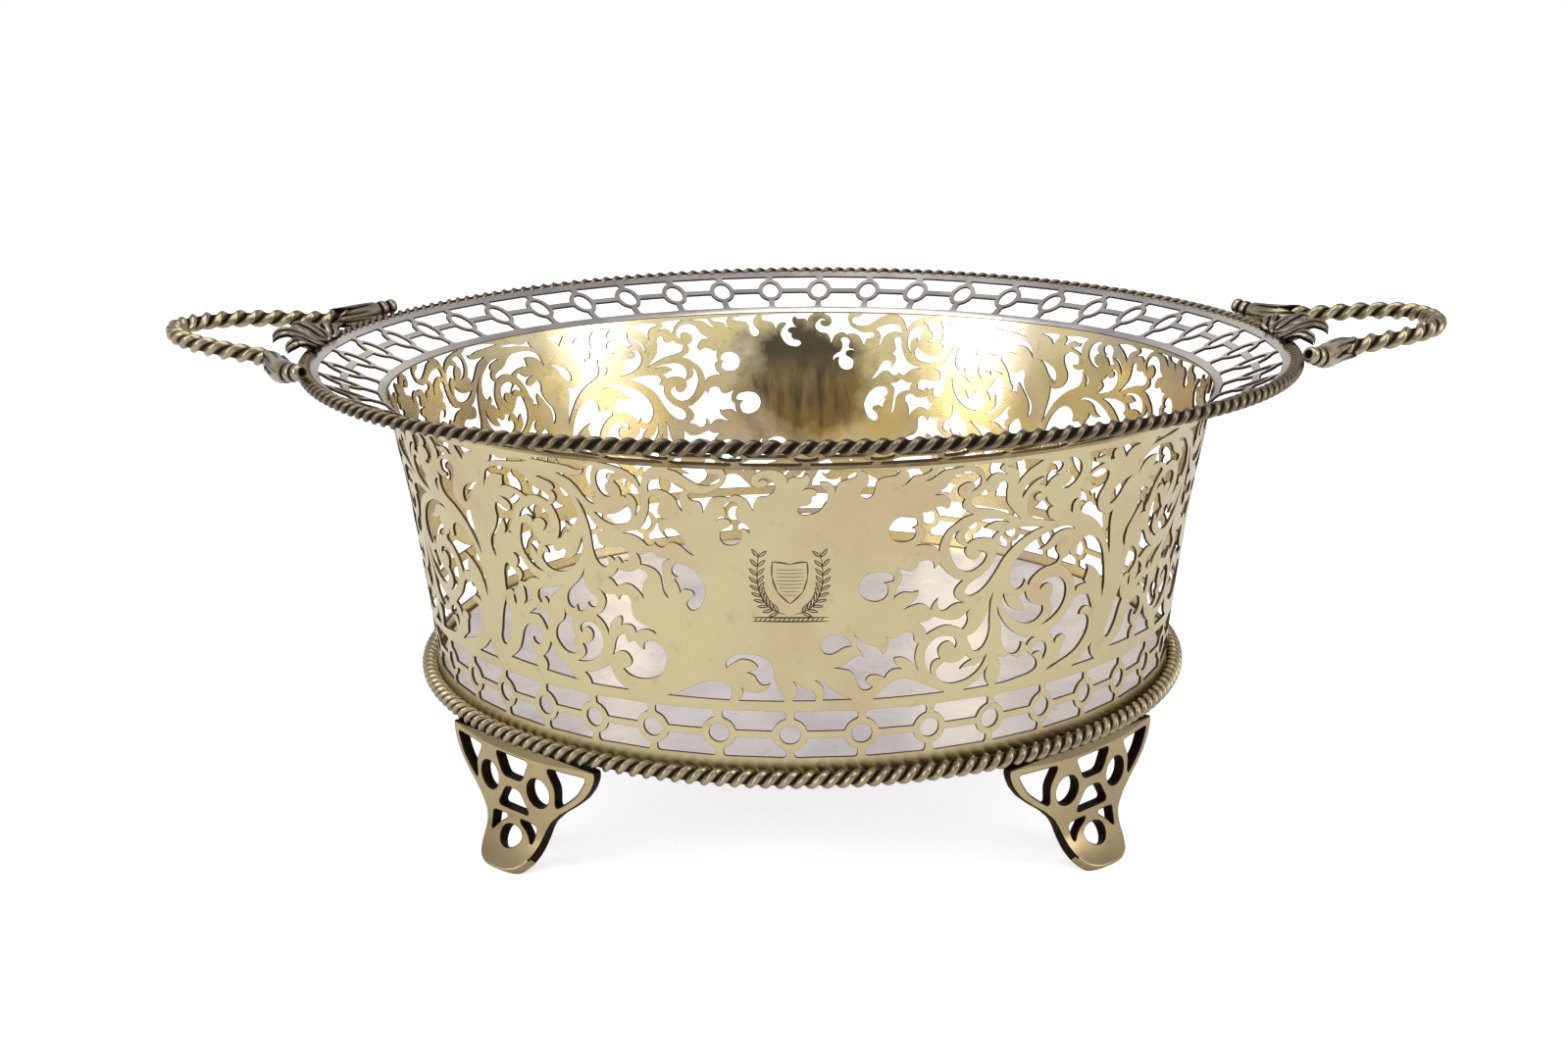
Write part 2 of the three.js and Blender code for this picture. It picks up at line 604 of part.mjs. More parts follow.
const footTurns = {
  foot_front_left: -quarter - footAngleFromFront,
  foot_front_right: -quarter + footAngleFromFront,
  foot_back_left: quarter + footAngleFromFront,
  foot_back_right: quarter - footAngleFromFront,
};
for (const [name, turn] of Object.entries(footTurns)) {
  put(name, foot(turn), silver.foot, 0.35);
}

export default group;
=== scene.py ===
# Pierced silver basket on four feet with two rope handles, on a white sweep, seen from the front.
import math
import bpy
import numpy as np
from mathutils import Matrix, Vector
from mathutils.geometry import delaunay_2d_cdt


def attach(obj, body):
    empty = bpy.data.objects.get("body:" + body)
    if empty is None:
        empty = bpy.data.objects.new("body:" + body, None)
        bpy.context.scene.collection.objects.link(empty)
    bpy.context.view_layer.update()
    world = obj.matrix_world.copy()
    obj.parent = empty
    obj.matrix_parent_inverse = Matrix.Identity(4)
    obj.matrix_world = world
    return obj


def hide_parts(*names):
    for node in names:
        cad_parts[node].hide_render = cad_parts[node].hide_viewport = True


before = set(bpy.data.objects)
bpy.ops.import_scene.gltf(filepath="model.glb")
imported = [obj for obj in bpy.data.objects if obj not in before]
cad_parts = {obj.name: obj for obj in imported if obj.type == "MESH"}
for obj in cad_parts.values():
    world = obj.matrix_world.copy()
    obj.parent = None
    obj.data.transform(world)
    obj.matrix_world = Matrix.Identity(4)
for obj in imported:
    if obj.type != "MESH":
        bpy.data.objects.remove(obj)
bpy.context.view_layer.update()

# Camera, about 44 cm in front of the basket's axis and 18 cm up, tilted down to the plain panel.
# A full-frame body with a lens of about 44 mm; the small shift keeps the handles' height in the frame.
IMAGE_WIDTH = 1599
FOCAL_PIXELS = 1939.86
SHIFT_PIXELS = -39.56
SENSOR_WIDTH = 36
CAMERA_PLACE = (0.00053, -0.44239, 0.17546)
YAW, PITCH, ROLL = -0.010, 0.246, -0.010

camera_data = bpy.data.cameras.new("camera")
camera_data.sensor_width = SENSOR_WIDTH
camera_data.lens = FOCAL_PIXELS / IMAGE_WIDTH * SENSOR_WIDTH
camera_data.shift_y = SHIFT_PIXELS / IMAGE_WIDTH
camera_data.clip_start = 0.01
camera = bpy.data.objects.new("camera", camera_data)
bpy.context.scene.collection.objects.link(camera)
ahead = Vector((math.sin(YAW) * math.cos(PITCH), math.cos(YAW) * math.cos(PITCH), -math.sin(PITCH)))
level = Vector((math.cos(YAW), -math.sin(YAW), 0))
above = level.cross(ahead)
across = math.cos(ROLL) * level + math.sin(ROLL) * above
upward = -math.sin(ROLL) * level + math.cos(ROLL) * above
aim = Matrix((across, upward, -ahead)).transposed().to_4x4()
camera.matrix_world = Matrix.Translation(CAMERA_PLACE) @ aim
bpy.context.scene.camera = camera
bpy.context.scene.view_settings.view_transform = "Standard"


# White sweep and lights: a matt white floor, a large soft box overhead and two at the sides.
# The surroundings that the silver mirrors are a pale tent with darker low parts in front.
WHITE = (1, 1, 1, 1)
FLOOR_REACH = 40.0
FLOOR_GLOW = 0.62
TENT_LOW, TENT_HIGH = (0.24, 0.23, 0.22, 1), (0.32, 0.32, 0.38, 1)
TENT_BANDS = [(0.1, (0.42, 0.41, 0.4, 1)), (0.2, (0.98, 0.98, 0.96, 1)), (0.45, (0.85, 0.85, 0.88, 1)),
              (0.7, (0.42, 0.42, 0.5, 1))]


# Gives the inputs of a node their values: a socket is linked, anything else is set
def fill(tree, node, values):
    for key, value in values.items():
        if isinstance(value, bpy.types.NodeSocket):
            tree.links.new(value, node.inputs[key])
        else:
            node.inputs[key].default_value = value
    return node


def add_node(tree, kind, values=None):
    return fill(tree, tree.nodes.new("ShaderNode" + kind), values or {})


def calc(tree, operation, *values):
    node = add_node(tree, "Math", dict(enumerate(values)))
    node.operation = operation
    return node.outputs[0]


def new_material(name):
    material = bpy.data.materials.new(name)
    material.use_nodes = True
    return material, material.node_tree, material.node_tree.nodes["Principled BSDF"]


def add_object(name, data):
    made = bpy.data.objects.new(name, data)
    bpy.context.scene.collection.objects.link(made)
    return made


paper, tree, surface = new_material("white_paper")
fill(tree, surface, {"Base Color": (0.93, 0.93, 0.935, 1), "Roughness": 0.9, "Specular IOR Level": 0.1})
seen = add_node(tree, "LightPath").outputs["Is Camera Ray"]
glow = add_node(tree, "Emission", {"Color": WHITE, "Strength": calc(tree, "MULTIPLY", seen, FLOOR_GLOW)})
both = add_node(tree, "AddShader", {0: surface.outputs[0], 1: glow.outputs[0]})
fill(tree, tree.nodes["Material Output"], {"Surface": both.outputs[0]})

floor_mesh = bpy.data.meshes.new("floor")
corners = [(-FLOOR_REACH, -FLOOR_REACH, 0), (FLOOR_REACH, -FLOOR_REACH, 0)]
corners += [(FLOOR_REACH, FLOOR_REACH, 0), (-FLOOR_REACH, FLOOR_REACH, 0)]
floor_mesh.from_pydata(corners, [], [(0, 1, 2, 3)])
floor_mesh.materials.append(paper)
floor = add_object("floor", floor_mesh)

world = bpy.data.worlds.new("tent")
bpy.context.scene.world = world
world.use_nodes = True
tree = world.node_tree
seen = add_node(tree, "LightPath").outputs["Is Camera Ray"]
place = add_node(tree, "TexCoord").outputs["Generated"]
ramp = add_node(tree, "ValToRGB", {"Fac": add_node(tree, "SeparateXYZ", {0: place}).outputs["Z"]})
for position, colour in TENT_BANDS:
    ramp.color_ramp.elements.new(position).color = colour
ramp.color_ramp.elements[0].color = TENT_LOW
ramp.color_ramp.elements[-1].color = TENT_HIGH
tent = fill(tree, tree.nodes["Background"], {"Color": ramp.outputs["Color"], "Strength": 0.85})
white = add_node(tree, "Background", {"Color": WHITE, "Strength": 1.0})
choose = add_node(tree, "MixShader", {0: seen, 1: tent.outputs[0], 2: white.outputs[0]})
fill(tree, tree.nodes["World Output"], {"Surface": choose.outputs[0]})


def soft_box(name, position, target, width, height, watts):
    data = bpy.data.lights.new(name, "AREA")
    data.shape = "RECTANGLE"
    data.size = width
    data.size_y = height
    data.energy = watts
    lamp = add_object(name, data)
    lamp.location = position
    lamp.rotation_mode = "QUATERNION"
    lamp.rotation_quaternion = (Vector(target) - Vector(position)).to_track_quat("-Z", "Y")


soft_box("box_top", (-0.1, -0.15, 1.1), (0, 0, 0.05), 1.3, 0.9, 9)
soft_box("box_left", (-0.95, -0.55, 0.55), (0, 0, 0.06), 0.5, 0.9, 5)
soft_box("box_right", (1.0, -0.35, 0.6), (0, 0, 0.06), 0.35, 0.9, 4)


# Silver looks: one tarnish mask and one worn surface shared by all the silver. Rosy clouds of tarnish lie
# over pale yellowish silver, with fine wiping scratches; the yellower inside and its lilac clouds are painted
# reflections.
# The gallery has its own lilac-grey tone as painted reflection, the rim rope a darker copy as painted shade,
# and the cut sides and crevices are painted dark as shade.
# The inside of the back wall has a dark patch facing the plain panel, streaked up and down below and darkest
# at its top.
def linear(red, green, blue):
    values = []
    for value in (red, green, blue):
        value /= 255
        values.append(value / 12.92 if value <= 0.04045 else ((value + 0.055) / 1.055) ** 2.4)
    return (*values, 1)


def new_group(name, inputs, outputs):
    group = bpy.data.node_groups.new(name, "ShaderNodeTree")
    for sockets, way in ((inputs, "INPUT"), (outputs, "OUTPUT")):
        for socket, kind in sockets.items():
            group.interface.new_socket(socket, in_out=way, socket_type="NodeSocket" + kind)
    return group, group.nodes.new("NodeGroupInput").outputs, group.nodes.new("NodeGroupOutput")


def use_group(tree, group, values):
    node = tree.nodes.new("ShaderNodeGroup")
    node.node_tree = group
    return fill(tree, node, values).outputs


def noise(tree, vector, scale, detail, roughness=0.5):
    values = {"Vector": vector, "Scale": scale, "Detail": detail, "Roughness": roughness}
    return add_node(tree, "TexNoise", values).outputs["Fac"]


def spread(tree, value, low, high, out_low=0.0, out_high=1.0):
    values = {"Value": value, "From Min": low, "From Max": high, "To Min": out_low, "To Max": out_high}
    return add_node(tree, "MapRange", values).outputs["Result"]


# Mix of two colours; 0, 6 and 7 are the factor and the colour inputs of the node, 2 its colour output
def blend(tree, factor, first, second):
    node = tree.nodes.new("ShaderNodeMix")
    node.data_type = "RGBA"
    return fill(tree, node, {0: factor, 6: first, 7: second}).outputs[2]


clouds, entry, leave = new_group("tarnish_clouds", {"Base": "Color", "Cloud": "Color", "Stain": "Color",
                                                    "Amount": "Float"}, {"Color": "Color"})
place = add_node(clouds, "TexCoord").outputs["Object"]
wide = spread(clouds, noise(clouds, place, 38, 3, 0.6), 0.44, 0.66)
fine = spread(clouds, noise(clouds, place, 260, 4, 0.6), 0.6, 0.82)
clouded = blend(clouds, calc(clouds, "MULTIPLY", wide, entry["Amount"]), entry["Base"], entry["Cloud"])
flecked = blend(clouds, calc(clouds, "MULTIPLY", fine, entry["Amount"]), clouded, entry["Stain"])
fill(clouds, leave, {"Color": flecked})

wear, entry, leave = new_group("wiped_surface", {"Depth": "Float"},
                               {"Normal": "Vector", "Roughness": "Float"})
place = add_node(wear, "TexCoord").outputs["Object"]
wiped = add_node(wear, "Mapping", {"Vector": place, "Scale": (300, 300, 2600), "Rotation": (0.25, 0.15, 0)})
hair = noise(wear, wiped.outputs["Vector"], 1.0, 3, 0.6)
ripple = noise(wear, place, 90, 2)
raised = calc(wear, "MULTIPLY_ADD", ripple, 6.0, hair)
bump = add_node(wear, "Bump", {"Strength": 1.0, "Distance": entry["Depth"], "Height": raised})
uneven = spread(wear, ripple, 0.3, 0.7, -0.06, 0.06)
fill(wear, leave, {"Normal": bump.outputs["Normal"], "Roughness": uneven})

# Dark patch inside the back wall: an oval mask with ragged edges; below, two browns mix in vertical streaks,
# towards its top it turns nearly black.
patch, _, leave = new_group("inner_patch", {}, {"Mask": "Float", "Color": "Color"})
place = add_node(patch, "TexCoord").outputs["Object"]
oval = add_node(patch, "Mapping", {"Vector": place, "Location": (0.002, 0.092, 0.074),
                                   "Scale": (0.019, 0.014, 0.019)})
oval.vector_type = "TEXTURE"
away = add_node(patch, "VectorMath", {0: oval.outputs["Vector"]})
away.operation = "LENGTH"
ragged = calc(patch, "MULTIPLY_ADD", noise(patch, place, 120, 4, 0.6), 1.1, away.outputs["Value"])
streak_space = add_node(patch, "Mapping", {"Vector": place, "Scale": (420, 420, 60)})
streaks = spread(patch, noise(patch, streak_space.outputs["Vector"], 1.0, 2), 0.45, 0.7)
stain = blend(patch, streaks, linear(140, 116, 72), linear(70, 52, 40))
height = add_node(patch, "SeparateXYZ", {0: place}).outputs["Z"]
shade = blend(patch, spread(patch, height, 0.074, 0.082), stain, linear(52, 48, 44))
fill(patch, leave, {"Mask": spread(patch, ragged, 1.25, 1.75, 0.9, 0.0), "Color": shade})


def silver(name, base, cloud, stain, amount, roughness, depth, crevice_shade_range=None, metallic=1.0, patched=False):
    material, tree, surface = new_material(name)
    colours = {"Base": linear(*base), "Cloud": linear(*cloud), "Stain": linear(*stain), "Amount": amount}
    colour = use_group(tree, clouds, colours)["Color"]
    worn = use_group(tree, wear, {"Depth": depth})
    rough = calc(tree, "ADD", worn["Roughness"], roughness)
    # Painted shade: where the groove attribute is high the colour turns dark brown, and the surface rougher.
    if crevice_shade_range:
        groove = add_node(tree, "Attribute")
        groove.attribute_name = "groove"
        crevice_shade = spread(tree, groove.outputs["Fac"], *crevice_shade_range)
        colour = blend(tree, crevice_shade, colour, linear(34, 28, 22))
        rough = calc(tree, "MULTIPLY_ADD", crevice_shade, 0.4, rough)
    if patched:
        inner_dark_patch = use_group(tree, patch, {})
        colour = blend(tree, inner_dark_patch["Mask"], colour, inner_dark_patch["Color"])
    values = {"Base Color": colour, "Roughness": rough, "Normal": worn["Normal"], "Metallic": metallic}
    fill(tree, surface, values)
    return material


outside_silver = silver("silver_outside", (194, 182, 140), (184, 157, 126), (132, 116, 88), 0.5, 0.34,
                        0.000012)
# Painted reflection: the inside's yellower base and lilac clouds stand in for golden glints and lilac
# reflections.
inside_silver_painted_reflection = silver("silver_inside", (240, 223, 164), (214, 202, 202), (150, 134, 108), 0.6, 0.24, 0.00001,
                       patched=True)
# Painted reflection: the gallery has its own greyer, lilac-tinted copy of the silver, toning down the bright
# surroundings it mirrors.
gallery_silver_painted_reflection = silver("silver_gallery", (214, 208, 192), (196, 188, 192), (150, 139, 130), 0.5, 0.3,
                        0.00001)
# Painted shade: the cut sides of the wall and gallery are dark brown for the shadow lines along the cuts.
cut_edge_shade_silver = silver("silver_cut_edge_painted_shade", (84, 68, 46), (62, 50, 38), (40, 33, 27), 0.9, 0.5, 0.00001)
rope_silver = silver("silver_rope", (164, 151, 120), (138, 122, 102), (94, 82, 66), 0.6, 0.26, 0.000008,
                     (0.22, 0.62))
# Painted shade: the rim rope is a darker copy of the rope silver, toning down the light it catches from the
# top box.
rim_rope_shade_silver = silver("silver_rim_rope_painted_shade", (126, 114, 90), (106, 94, 78), (72, 62, 50), 0.6, 0.28, 0.000008,
                    (0.1, 0.44))
cast_silver = silver("silver_cast", (164, 152, 126), (140, 126, 110), (88, 78, 64), 0.7, 0.28, 0.00002,
                     (0.25, 0.75))
foot_silver = silver("silver_foot", (174, 158, 116), (158, 134, 104), (116, 98, 74), 0.6, 0.32, 0.000015)
# Painted shade: the sawn sides of the feet are nearly black, for the shadow inside their openings.
foot_cut_shade_silver = silver("silver_foot_cut_painted_shade", (46, 36, 26), (36, 28, 22), (24, 20, 16), 0.9, 0.55, 0.00001)
plate_silver = silver("silver_plate", (218, 211, 212), (196, 187, 192), (164, 154, 152), 0.8, 0.3, 0.00001,
                      metallic=0.35)
dark_silver = silver("silver_engraved", (92, 82, 64), (70, 62, 50), (50, 44, 36), 0.5, 0.5, 0.00001)


# Wall: one sheet of silver 0.6 mm thick, saw-pierced by hand with scrolling foliage over a band of small
# rings, and raised into a bowl that flares a little towards the top. The same quarter of scrolls runs
# four times round it. Shapes are in millimetres with heights from 3.2 below the table.
DATUM = 3.2
QUARTER = math.pi / 2
QUARTER_LENGTH = 142.94
ROUND_LENGTH = 4 * QUARTER_LENGTH
WALL_PROFILE = [(31.0, 87.3), (40, 87.9), (50, 89.0), (60, 90.2), (70, 91.5), (80, 93.1), (84, 93.8),
                (90, 94.9), (96.0, 96.3)]
WALL_FOOT, BAND_TOP, BELT, WALL_TOP = 31.2, 45.85, 46.1, 95.9
SHEET = 0.6
SOFT_EDGE = 0.06
# NUDGE keeps coordinates off the rounding steps when points are joined; triangles of less area than SLIVER
# are left out; inner points nearer than GRID_GAP to an outline are too
NUDGE = 0.00123
SLIVER = 1e-7
GRID_GAP = 0.55
OUTLINE_STEPS = 4
LOWER_CELLS, LOWER_FIRST_RING, LOWER_MIDDLE = 41, -1.5, 39.6
RING_DRIFT, DRIFT_START = 1.5, 2.5
SEAM = [(71.47, BELT), (70.85, 52.5), (70.6, 60), (71.5, 70), (71.6, 78), (72.6, 82), (74.1, 86.9),
        (74.5, 93.5), (74.5, WALL_TOP)]

